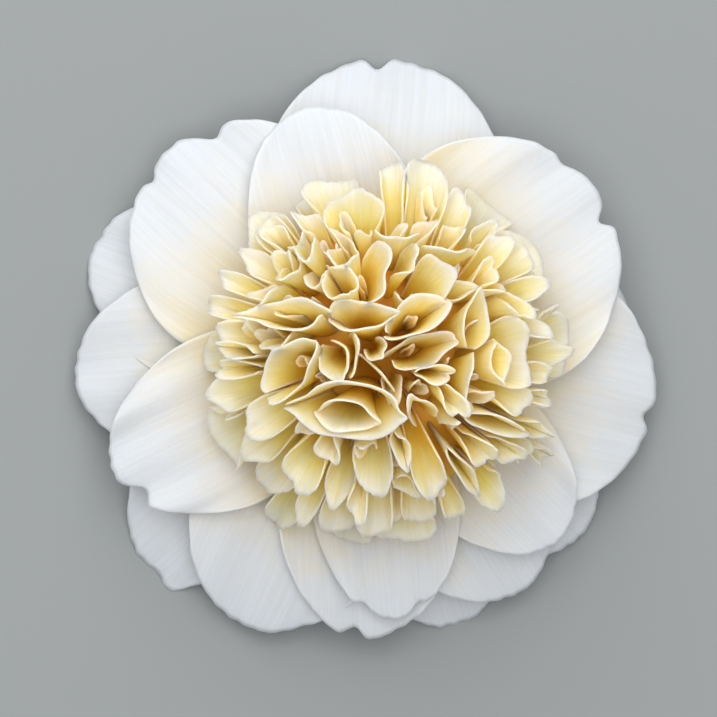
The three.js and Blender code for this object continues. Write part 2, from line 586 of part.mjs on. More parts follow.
/** The sepals, two rings of cupped scales that grow from a short stump with the scar under it. */
function calyx() {
  const stump = turned(
    [
      [0, 0],
      [SCAR_RADIUS, 0],
      [3.6, 1.2],
      [3.9, 2.6],
      [3.4, RECEPTACLE_BOTTOM - SEAM],
      [0, RECEPTACLE_BOTTOM - SEAM],
    ],
    16,
  );
  return fuse([stump, ...sepalSheets().map((sheet) => flatBlade(sheet, SEPAL_THICKNESS))]);
}

const group = new THREE.Group();
group.add(meshOf("guard_petals", guardPetals()));
group.add(meshOf("petaloids", petaloids()));
group.add(meshOf("calyx", calyx()));

export default group;
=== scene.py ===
"""Dress the camellia bloom: fine petals, petaloids and sepals with their finishes, light and camera.

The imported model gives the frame. Each class below builds one part of the bloom from the same rules as
the solids, with thinner sheets, waved margins and veins. Lengths are in millimetres until a mesh is
made, which turns them to metres.
"""

from __future__ import annotations

import logging
import math
from dataclasses import dataclass, field
from enum import IntEnum
from functools import cached_property

import bpy
import numpy as np
from mathutils import Matrix, Vector


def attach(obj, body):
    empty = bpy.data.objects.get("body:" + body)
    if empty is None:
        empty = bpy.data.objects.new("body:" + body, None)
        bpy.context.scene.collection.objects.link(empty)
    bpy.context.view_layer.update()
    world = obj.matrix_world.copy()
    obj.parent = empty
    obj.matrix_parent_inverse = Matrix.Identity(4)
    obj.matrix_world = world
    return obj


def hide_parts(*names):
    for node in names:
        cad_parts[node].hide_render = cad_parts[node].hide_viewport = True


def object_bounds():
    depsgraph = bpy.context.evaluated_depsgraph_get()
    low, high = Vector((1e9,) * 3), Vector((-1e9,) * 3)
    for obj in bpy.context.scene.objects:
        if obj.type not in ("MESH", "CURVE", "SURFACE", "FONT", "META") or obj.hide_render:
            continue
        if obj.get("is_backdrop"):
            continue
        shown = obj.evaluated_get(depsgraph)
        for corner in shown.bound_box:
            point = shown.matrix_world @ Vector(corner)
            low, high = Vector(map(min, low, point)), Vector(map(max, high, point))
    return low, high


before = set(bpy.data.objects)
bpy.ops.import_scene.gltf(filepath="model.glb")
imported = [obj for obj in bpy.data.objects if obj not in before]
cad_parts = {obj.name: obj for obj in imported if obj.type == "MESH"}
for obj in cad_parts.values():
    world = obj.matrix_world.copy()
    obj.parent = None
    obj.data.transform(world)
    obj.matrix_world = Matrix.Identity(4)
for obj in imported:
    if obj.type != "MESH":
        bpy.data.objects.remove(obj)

LOG = logging.getLogger("camellia")
MM = 0.001
DEGREE = math.pi / 180
GOLDEN_ANGLE = 137.508 * DEGREE
SEED = 11
UP = np.array([0.0, 0.0, 1.0])


class Trait(IntEnum):
    """What a seeded draw decides about one petal. The solids use the same numbers."""

    BEARING = 2
    OPENNESS = 3
    HEADING = 4
    DEPTH = 5
    LEAN = 6
    HALF_LENGTH = 7
    HALF_WIDTH = 8
    WAVE_HEIGHT = 9
    WAVE_COUNT = 10
    WAVE_PHASE = 11
    CRUMPLE = 12
    FLARE = 13
    PEAK = 14
    FALL = 15
    PETALOID_TONE = 20
    NICK = 21
    FILLER_BEARING = 32
    FILLER_DROP = 33
    FILLER_HEADING = 34
    FILLER_LEAN = 35
    FILLER_HALF_LENGTH = 36
    FILLER_HALF_WIDTH = 37
    FILLER_GAP = 38
    FILLER_PEAK = 39
    GUARD_TONE = 40
    SEPAL_TONE = 50


def draw(index: int, trait: Trait) -> float:
    """Give the repeatable draw for one trait of one petal.

    Args:
        index: Number of the petal.
        trait: The trait.

    Returns:
        A number from -1 to 1.
    """
    mask = 0xFFFFFFFF
    mixed = ((index + 1) * 374761393 ^ (trait + SEED) * 668265263) & mask
    mixed = ((mixed ^ mixed >> 13) * 1274126177) & mask
    mixed ^= mixed >> 16
    return mixed / 2147483648 - 1


def mix(start: float, end: float, share: float) -> float:
    """Give the value that lies a share of the way from start to end."""
    return start + (end - start) * share


def outward(bearing: float) -> np.ndarray:
    """Give the level direction at a bearing in radians from +X."""
    return np.array([math.cos(bearing), math.sin(bearing), 0.0])


def linear(code: str) -> tuple[float, float, float, float]:
    """Turn an sRGB hex colour to linear.

    Args:
        code: Six hex digits after a hash sign.

    Returns:
        Linear red, green and blue with an alpha of 1.
    """
    parts = [int(code[i : i + 2], 16) / 255 for i in (1, 3, 5)]
    red, green, blue = (
        part / 12.92 if part <= 0.04045 else ((part + 0.055) / 1.055) ** 2.4
        for part in parts
    )
    return red, green, blue, 1.0


@dataclass(frozen=True)
class Outline:
    """The flat outline of a kind of petal.

    Attributes:
        base: Width at the root as a share of the widest.
        swell: How late the blade widens.
        round: How far the corners of the tip fall back.
    """

    base: float
    swell: float
    round: float


@dataclass(frozen=True)
class Build:
    """How finely a kind of blade is divided, and how thick it is.

    Attributes:
        along: Cells from root to margin.
        across: Cells from side to side.
        thickness: Thickness in the middle of the blade.
        rim: Thickness at the margin.
    """

    along: int
    across: int
    thickness: float
    rim: float


@dataclass(frozen=True)
class Relief:
    """The small forms that a fine sheet adds to the plain one.

    Attributes:
        nick: Depth of the fine nicks of the margin, as a share of the length.
        ripple: Height of the short waves close to the margin.
        ripples: How many of those waves cross the blade.
        pleat: Height of the pleats that run from root to margin.
        pleats: How many pleats cross the blade.
        vein: Height of the fine veins.
        lanes: How many veins cross the blade.
    """

    nick: float = 0.0
    ripple: float = 0.0
    ripples: float = 6.0
    pleat: float = 0.0
    pleats: float = 7.0
    vein: float = 0.0
    lanes: float = 17.0


@dataclass(kw_only=True)
class Blade:
    """What the middle sheets of petals and petaloids share.

    Attributes:
        number: Seeds the blade's own small forms.
        make: How finely it is divided, and how thick it is.
        rests: Whether it may lie on the surface under the bloom.
    """

    number: int
    make: Build
    rests: bool = False

    def tip_line(self, u: np.ndarray) -> np.ndarray:
        """Give the margin's place along the blade at places across it, 1 at a plain tip."""
        raise NotImplementedError

    def points(self, u: np.ndarray, v: np.ndarray) -> np.ndarray:
        """Place points of the sheet, in millimetres."""
        raise NotImplementedError

    def nicks(self, u: np.ndarray) -> np.ndarray:
        """Give the fine uneven line of the margin at places across the blade, about -1 to 1."""
        phase = 2.4 * self.number
        coarse = np.sin(9.3 * u + phase) * np.sin(23.1 * u + 2 * phase)
        return coarse + 0.5 * np.sin(41.7 * u + 3 * phase)

    def grid(self) -> tuple[np.ndarray, np.ndarray, np.ndarray]:
        """Place the corners of the sheet's cells.

        Returns:
            The points, and their places across and along, all in rows from root to margin.
        """
        v, u = np.meshgrid(
            np.linspace(0, 1, self.make.along + 1),
            np.linspace(-1, 1, self.make.across + 1),
            indexing="ij",
        )
        return self.points(u, v), u, v


@dataclass(kw_only=True)
class Sheet(Blade):
    """The middle sheet of a petal: a fan along a curved spine, with curled sides and a waved margin.

    Attributes:
        root: Start of the spine.
        bend: Control point that the spine leans towards.
        tip: End of the spine.
        side: Direction across the blade at its root.
        outline: Its flat outline.
        width: Width across the widest place.
        cup: Arc of the cross-section at root and tip.
        wave: Height, number and phase of the long waves of the margin.
        notches: Place across, depth and width of each notch in the margin, or lobe below 0.
        relief: Its small forms.
        rounded: How much of the half circle over the tip is used.
        fullest: The width follows a sine up to this angle at the tip.
        calm: Height of the long waves in the middle, as a share of those at the sides.
    """

    root: np.ndarray
    bend: np.ndarray
    tip: np.ndarray
    side: np.ndarray
    outline: Outline
    width: float
    cup: tuple[float, float]
    wave: tuple[float, float, float] = (0.0, 1.0, 0.0)
    notches: tuple[tuple[float, float, float], ...] = ()
    relief: Relief = Relief()
    rounded: float = 0.97
    fullest: float = 0.58 * math.pi
    calm: float = 0.35

    def tip_line(self, u: np.ndarray) -> np.ndarray:
        """Give how far along the spine the margin lies.

        Args:
            u: Places across the blade, -1 to 1.

        Returns:
            The margin's place along the spine, 1 at a plain tip.
        """
        line = 1 - self.outline.round * (1 - np.sqrt(1 - (self.rounded * u) ** 2))
        for place, depth, width in self.notches:
            line = line - depth * np.exp(-(((u - place) / width) ** 2))
        return line + self.relief.nick * self.nicks(u)

    def points(self, u: np.ndarray, v: np.ndarray) -> np.ndarray:
        """Place points of the sheet.

        Args:
            u: Places across the blade, -1 to 1.
            v: Places along it, 0 at the root and 1 at the margin.

        Returns:
            Points in millimetres, one for each pair of places.
        """
        s = (v * self.tip_line(u))[..., None]
        point = (1 - s) ** 2 * self.root + 2 * s * (1 - s) * self.bend + s * s * self.tip
        heading = (s - 1) * self.root + (1 - 2 * s) * self.bend + s * self.tip
        heading = heading / np.linalg.norm(heading, axis=-1, keepdims=True)
        side = self.side - heading * (heading @ self.side)[..., None]
        side = side / np.linalg.norm(side, axis=-1, keepdims=True)
        face = np.cross(heading, side)

        fullness = np.sin(self.fullest * v) ** self.outline.swell
        half = self.width / 2 * mix(self.outline.base, 1, fullness)
        curve = mix(self.cup[0], self.cup[1], v) / (2 * half)
        turned = curve * u * half
        height, count, start = self.wave
        margin = v**3 * mix(self.calm, 1, u * u)
        rise = height * margin * np.sin(np.pi * count * u + start) + self.small_forms(u, v)
        return (
            point
            + side * (np.sin(turned) / curve)[..., None]
            + face * ((1 - np.cos(turned)) / curve + rise)[..., None]
        )

    def small_forms(self, u: np.ndarray, v: np.ndarray) -> np.ndarray:
        """Give the height of the small forms over the plain sheet.

        Args:
            u: Places across the blade.
            v: Places along it.

        Returns:
            Heights in millimetres.
        """
        relief = self.relief
        phase = 1.7 * self.number
        edge = np.maximum(np.abs(u) ** 6, v**8)
        uneven = 0.6 + 0.4 * np.sin(5.1 * u + 2 * phase)
        ripple = np.sin(relief.ripples * np.pi * u + phase + 2.2 * v) * uneven
        pleat = np.sin(relief.pleats * np.pi * (u + 0.06 * np.sin(4 * v + phase)))
        pleat = pleat * (0.5 + 0.5 * np.sin(3.3 * u + phase)) * v**1.5
        vein = np.abs(np.sin(relief.lanes * np.pi * (u + 0.02 * np.sin(7 * v + phase)))) * v
        return relief.ripple * edge * ripple + relief.pleat * pleat - relief.vein * vein


@dataclass(kw_only=True)
class Cup(Blade):
    """The middle sheet of one petaloid: a blade that rises from a narrow foot and folds to a cup.

    Attributes:
        mouth: Middle of its mouth.
        axis: Direction in which it grows.
        ahead: Direction from the mouth's middle to its tip.
        aside: Direction across the mouth.
        form: Its size and fold.
        length: From foot to rim.
        wave: Height, number and phase of the rim's waves.
        crumple: How much the fold's line wanders, as a share of the mouth.
        flare: How far the last of the rim turns out.
        nick: Depth of the fine nicks of the rim, as a share of the length.
        foot: Size of the foot as a share of the mouth.
        belly: How late it widens.
        back: How suddenly its rim falls back towards the open side.
        crumples: How often the fold's line wanders, broadly and finely.
        flare_late: How late the rim starts to turn out.
        flare_wave: Share by which the flare differs round the mouth, and how often.
        upper: Levels that have to keep clear, as shares of the length.
        upper_points: Points tested across each of them.
        free: Levels that others keep clear of.
        free_points: Points tested across each of them.
        reach: How far apart two mouths can stand for the blades to meet.
    """

    mouth: np.ndarray
    axis: np.ndarray
    ahead: np.ndarray
    aside: np.ndarray
    form: Petaloid
    length: float
    wave: tuple[float, float, float]
    crumple: float
    flare: float
    nick: float
    foot: float = 0.3
    belly: float = 1.2
    back: float = 2.2
    crumples: tuple[float, float] = (2.7, 6.3)
    flare_late: float = 8
    flare_wave: tuple[float, float] = (0.6, 3.1)
    upper: tuple[float, ...] = (0.8, 1.0)
    upper_points: int = 17
    free: tuple[float, ...] = (0.55, 0.7, 0.8, 0.9, 1.0)
    free_points: int = 33
    reach: float = 14.0

    def tip_line(self, u: np.ndarray) -> np.ndarray:
        """Give the length of the blade at places across it, as a share of its longest.

        Args:
            u: Places across the blade, -1 to 1.

        Returns:
            The shares.
        """
        return 1 - self.form.fall * np.abs(u) ** self.back + self.nick * self.nicks(u)

    def points(self, u: np.ndarray, v: np.ndarray) -> np.ndarray:
        """Place points of the sheet.

        Args:
            u: Places across the blade, -1 to 1.
            v: Places along it, 0 at the foot and 1 at the rim.

        Returns:
            Points in millimetres, one for each pair of places.
        """
        turn = u * (math.pi - self.form.gap * DEGREE / 2)
        grown = v * self.tip_line(u)
        spread = mix(self.foot, 1, grown**self.belly)
        height, count, phase = self.wave
        broad, fine = self.crumples
        fold = 1 + self.crumple * grown**2 * np.sin(broad * turn + 2 * phase)
        fold = fold + 0.5 * self.crumple * grown**4 * np.sin(fine * turn + phase)
        share, often = self.flare_wave
        lip = self.flare * grown**self.flare_late * (1 + share * np.sin(often * turn + phase))
        forward = (self.form.half_length * fold * spread + lip) * np.cos(turn)
        sideways = np.abs(np.sin(turn)) ** (1 + self.form.peak) * np.sign(turn)
        sideways = (self.form.half_width * fold * spread + lip) * sideways
        rise = self.length * (grown - 1) + height * grown**2 * np.sin(count * turn + phase)
        return (
            self.mouth
            + self.axis * rise[..., None]
            + self.ahead * forward[..., None]
            + self.aside * sideways[..., None]
        )

    def samples(self, levels: tuple[float, ...], count: int) -> np.ndarray:
        """Sample the sheet.

        Args:
            levels: Places along it.
            count: How many points lie across it at each.

        Returns:
            The points.
        """
        v, u = np.meshgrid(levels, np.linspace(-1, 1, count), indexing="ij")
        return self.points(u, v).reshape(-1, 3)

    def keeps_clear(self, others: list[Cup], berth: float) -> bool:
        """Tell whether the upper part of the blade keeps away from others.

        Args:
            others: The blades that it may meet.
            berth: How far it has to keep away.

        Returns:
            Whether it does.
        """
        own = self.samples(self.upper, self.upper_points)
        near = [other for other in others if np.linalg.norm(other.mouth - self.mouth) < self.reach]
        return all(
            np.linalg.norm(own[:, None] - other.skin, axis=-1).min() > berth for other in near
        )

    @cached_property
    def skin(self) -> np.ndarray:
        """Points over the free part of the sheet."""
        return self.samples(self.free, self.free_points)


@dataclass
class Mesh:
    """Vertices, faces and the values that the finishes read, gathered blade by blade.

    Attributes:
        points: Vertices of each body, in millimetres.
        faces: Vertex numbers of its faces.
        cut: Whether each face is the cut of a margin, which isn't shaded smooth.
        values: One number for each vertex, by name.
        count: Vertices so far.
    """

    points: list[np.ndarray] = field(default_factory=list)
    faces: list[np.ndarray] = field(default_factory=list)
    cut: list[np.ndarray] = field(default_factory=list)
    values: dict[str, list[np.ndarray]] = field(default_factory=dict)
    count: int = 0

    def add(self, points: np.ndarray, faces: np.ndarray, flat: int, **values: np.ndarray) -> None:
        """Add one closed body.

        Args:
            points: Its vertices in millimetres.
            faces: Four vertex numbers for each face.
            flat: How many of the last faces are the cut of its margin.
            **values: One number for each vertex, by name.
        """
        self.points.append(points)
        self.faces.append(faces + self.count)
        self.cut.append(np.arange(len(faces)) >= len(faces) - flat)
        self.count += len(points)
        for name, numbers in values.items():
            self.values.setdefault(name, []).append(numbers)

    def build(self, name: str) -> bpy.types.Object:
        """Make the object.

        Args:
            name: Name of the piece.

        Returns:
            The object, in metres, with smooth shading.
        """
        points = np.concatenate(self.points) * MM
        faces = np.concatenate(self.faces)
        mesh = bpy.data.meshes.new(name)
        mesh.from_pydata(points.tolist(), [], faces.tolist())
        mesh.shade_smooth()
        sharp = mesh.attributes.new("sharp_face", "BOOLEAN", "FACE")
        sharp.data.foreach_set("value", np.concatenate(self.cut))
        for key, parts in self.values.items():
            attribute = mesh.attributes.new(key, "FLOAT", "POINT")
            attribute.data.foreach_set("value", np.concatenate(parts).astype(np.float32))
        mesh.validate()
        piece = bpy.data.objects.new(name, mesh)
        bpy.context.scene.collection.objects.link(piece)
        return piece


RIM_REACH = 0.5  # how far in from the margin a blade gains most of its thickness
INSIDE = 9.0  # distance from a margin that a body without one is given


def margin_distance(middle: np.ndarray) -> np.ndarray:
    """Measure how far each point of a sheet lies from the nearest margin.

    Args:
        middle: The sheet's points, in rows from root to margin.

    Returns:
        Distances along the sheet, in millimetres.
    """
    rows, columns = middle.shape[:2]
    steps = np.linalg.norm(np.diff(middle, axis=1), axis=-1)
    across = np.concatenate([np.zeros((rows, 1)), np.cumsum(steps, axis=1)], axis=1)
    climb = np.linalg.norm(np.diff(middle, axis=0), axis=-1)
    below = np.concatenate([np.cumsum(climb[::-1], axis=0)[::-1], np.zeros((1, columns))])
    return np.minimum(np.minimum(across, across[:, -1:] - across), below)


def blade_faces(rows: int, columns: int) -> tuple[np.ndarray, np.ndarray]:
    """Number the faces of a blade whose upper points come before the lower ones.

    Args:
        rows: Rows of points in either face.
        columns: Points in a row.

    Returns:
        The faces of the two sides, and those of the cut between them.
    """
    number = np.arange(rows * columns).reshape(rows, columns)
    under = rows * columns
    a, b = number[:-1, :-1], number[:-1, 1:]
    c, d = number[1:, 1:], number[1:, :-1]
    top = np.stack([a, d, c, b], axis=-1).reshape(-1, 4)
    bottom = np.stack([a, b, c, d], axis=-1).reshape(-1, 4) + under
    rim = np.concatenate([number[0, :-1], number[:-1, -1], number[-1, :0:-1], number[:0:-1, 0]])
    after = np.roll(rim, -1)
    return np.concatenate([top, bottom]), np.stack([rim, after, after + under, rim + under], axis=-1)


def add_blade(mesh: Mesh, sheet: Blade, tone: float) -> None:
    """Thicken a sheet to a closed blade with a thin rim.

    Args:
        mesh: Mesh that it is added to.
        sheet: Its middle sheet.
        tone: The petal's own lightness, about -1 to 1.
    """
    middle, u, v = sheet.grid()
    normal = np.cross(np.gradient(middle, axis=0), np.gradient(middle, axis=1))
    normal /= np.linalg.norm(normal, axis=-1, keepdims=True)
    margin = margin_distance(middle)
    taper = 1 - np.exp(-((margin / RIM_REACH) ** 2))
    thick = mix(sheet.make.rim, sheet.make.thickness, taper)[..., None]
    upper = middle + normal * thick / 2
    lower = middle - normal * thick / 2
    if sheet.rests:
        upper[..., 2] = np.maximum(upper[..., 2], sheet.make.rim)
        lower[..., 2] = np.maximum(lower[..., 2], 0.0)
    sides, wall = blade_faces(*u.shape)
    values = {"along": v * sheet.tip_line(u), "across": u, "margin": margin, "tone": tone + 0 * u}
    mesh.add(
        np.concatenate([upper.reshape(-1, 3), lower.reshape(-1, 3)]),
        np.concatenate([sides, wall]),
        len(wall),
        **{name: np.tile(value.ravel(), 2) for name, value in values.items()},
    )


def add_turned(
    mesh: Mesh, profile: list[tuple[float, float]], sides: int, centre: tuple[float, float]
) -> None:
    """Add a closed body turned from a profile.

    Args:
        mesh: Mesh that it is added to.
        profile: Radius and height of each corner, from the axis below to the axis above.
        sides: How many sides it has.
        centre: Where its axis stands.
    """
    angles = np.arange(sides) * 2 * math.pi / sides
    points = [
        [centre[0] + radius * math.cos(angle), centre[1] + radius * math.sin(angle), height]
        for radius, height in profile
        for angle in angles
    ]
    faces = []
    for row in range(len(profile) - 1):
        for i in range(sides):
            a, b = row * sides + i, row * sides + (i + 1) % sides
            faces.append([a, b, b + sides, a + sides])
    count = len(points)
    mesh.add(
        np.array(points),
        np.array(faces),
        0,
        along=np.zeros(count),
        across=np.zeros(count),
        margin=np.full(count, INSIDE),
        tone=np.zeros(count),
    )


@dataclass(frozen=True)
class GuardPetal:
    """One guard petal, as the solids have it.

    Attributes:
        bearing: Where it points, degrees from +X.
        reach: From the axis to its tip.
        width: Across its widest.
        layer: About 0 for the outermost layer to 2 for the innermost.
        tip: Height of its tip.
        cup: Degrees of arc that its sides curl, near the root and at the margin.
        wave: Height, number and phase of its long waves.
        notches: Place across, depth and width of each notch, or of a lobe where the depth is below 0.
    """

    bearing: float
    reach: float
    width: float
    layer: float
    tip: float
    cup: tuple[float, float]
    wave: tuple[float, float, float]
    notches: tuple[tuple[float, float, float], ...] = ()


GUARD_PETALS = (
    GuardPetal(8, 42.5, 28, 0, 0, (8, 4), (0.4, 2.2, 0.4)),
    GuardPetal(
        33, 43.5, 40, 1.8, 9.5, (22, 14), (0.9, 3.6, 0.9),
        ((-0.17, 0.05, 0.07), (0.35, 0.02, 0.1)),
    ),
    GuardPetal(83, 45.5, 38, 0, 0, (10, 6), (0.5, 2.6, 0.2), ((0.15, 0.05, 0.09),)),
    GuardPetal(104, 38, 26, 1.5, 9.8, (20, 20), (0.4, 2.1, 1.2)),
    GuardPetal(
        137, 43, 38, 0.8, 5.6, (12, 8), (0.6, 3.1, 2.2),
        ((-0.42, 0.05, 0.1), (0.18, 0.03, 0.07)),
    ),
    GuardPetal(160, 44.5, 30, -0.2, 0, (8, 4), (0.3, 2.4, 0.1)),
    GuardPetal(186, 44.8, 30, 0.2, 2.8, (8, 8), (0.4, 2.3, 0.6)),
    GuardPetal(207, 43.2, 27, 1.8, 9, (24, 14), (0.9, 3.6, 2.0), ((0.3, 0.05, 0.12),)),
    GuardPetal(225, 47.5, 29, 0, 0, (6, 4), (0.4, 2.0, 1.4), ((0.42, -0.05, 0.16),)),
    GuardPetal(247, 47, 33, 0.8, 3.2, (10, 6), (0.5, 2.5, 0.9)),
    GuardPetal(271, 45.2, 28, 1.3, 6, (14, 10), (0.5, 2.2, 2.6), ((-0.16, 0.035, 0.09),)),
    GuardPetal(
        277, 42.2, 23, 2, 9.5, (26, 22), (0.5, 2.8, 0.5),
        ((0.3, 0.03, 0.12), (-0.45, 0.03, 0.1)),
    ),
    GuardPetal(290, 46.2, 27, 0, 0, (8, 4), (0.4, 2.2, 0.3)),
    GuardPetal(303, 45.5, 29, 1.1, 4.4, (14, 10), (0.5, 2.4, 1.7)),
    GuardPetal(316, 42.5, 24, 1.7, 9.5, (24, 24), (0.4, 2.6, 2.4)),
    GuardPetal(320, 45.6, 28, 0.2, 1.6, (8, 4), (0.4, 2.1, 0.2)),
    GuardPetal(347, 46.8, 39, 0.9, 4.4, (14, 10), (0.7, 2.8, 1.1), ((-0.02, 0.035, 0.07),)),
)


@dataclass
class GuardRing:
    """The white guard petals, from the outermost layer up.

    Attributes:
        outline: Their flat outline.
        make: How finely they are divided, and how thick they are.
        relief: Their small forms.
        root_radius: How far from the axis they start.
        root_height: Height of the outermost layer there.
        root_step: From one layer to the next there.
        crest_height: Height of the outermost layer, halfway to the tips.
        crest_step: From one layer to the next there.
    """

    outline: Outline = Outline(0.24, 0.9, 0.5)
    make: Build = Build(56, 72, 0.42, 0.16)
    relief: Relief = Relief(nick=0.003, ripple=0.3, ripples=3.4, pleat=0.2, pleats=3.2, vein=0.012)
    root_radius: float = 3.2
    root_height: float = 5.9
    root_step: float = 1.2
    crest_height: float = 9.4
    crest_step: float = 1.7

    def sheet(self, number: int, petal: GuardPetal) -> Sheet:
        """Lay out one petal.

        Args:
            number: Its place in the list.
            petal: Its form.

        Returns:
            Its middle sheet.
        """
        angle = petal.bearing * DEGREE
        out = outward(angle)
        root = self.root_height + petal.layer * self.root_step
        crest = self.crest_height + petal.layer * self.crest_step
        # The middle of the spine lies at the crest, halfway between its ends and its bend.
        bend = 2 * crest - (root + petal.tip) / 2
        return Sheet(
            number=number,
            make=self.make,
            rests=True,
            root=self.root_radius * out + root * UP,
            bend=0.5 * petal.reach * out + bend * UP,
            tip=petal.reach * out + petal.tip * UP,
            side=np.array([-math.sin(angle), math.cos(angle), 0.0]),
            outline=self.outline,
            width=petal.width,
            cup=(petal.cup[0] * DEGREE, petal.cup[1] * DEGREE),
            wave=petal.wave,
            notches=petal.notches,
            relief=self.relief,
        )

    def build(self) -> list[bpy.types.Object]:
        """Make every guard petal.

        Returns:
            One piece for each petal.
        """
        pieces = []
        for number, petal in enumerate(GUARD_PETALS):
            mesh = Mesh()
            add_blade(mesh, self.sheet(number, petal), draw(number, Trait.GUARD_TONE))
            pieces.append(mesh.build(f"guard_petal_{petal.bearing}"))
        return pieces


@dataclass(frozen=True)
class Petaloid:
    """One petaloid of the mound.

    Attributes:
        x: Place of its mouth, to the right of the flower's axis.
        y: Place of its mouth, behind the axis.
        drop: How far the mouth lies under the mound's plain surface.
        heading: Where its tip points, degrees from +X seen from above.
        lean: How far it leans that way, degrees.
        half_length: From the mouth's middle to the tip.
        half_width: From the mouth's middle to either side.
        gap: Degrees of the mouth that stay open behind.
        peak: 0 for an oval mouth to 1 for one with sharp ends.
        fall: How far the rim falls back behind, as a share of the length.
    """

    x: float
    y: float
    drop: float
    heading: float
    lean: float
    half_length: float
    half_width: float
    gap: float
    peak: float
    fall: float


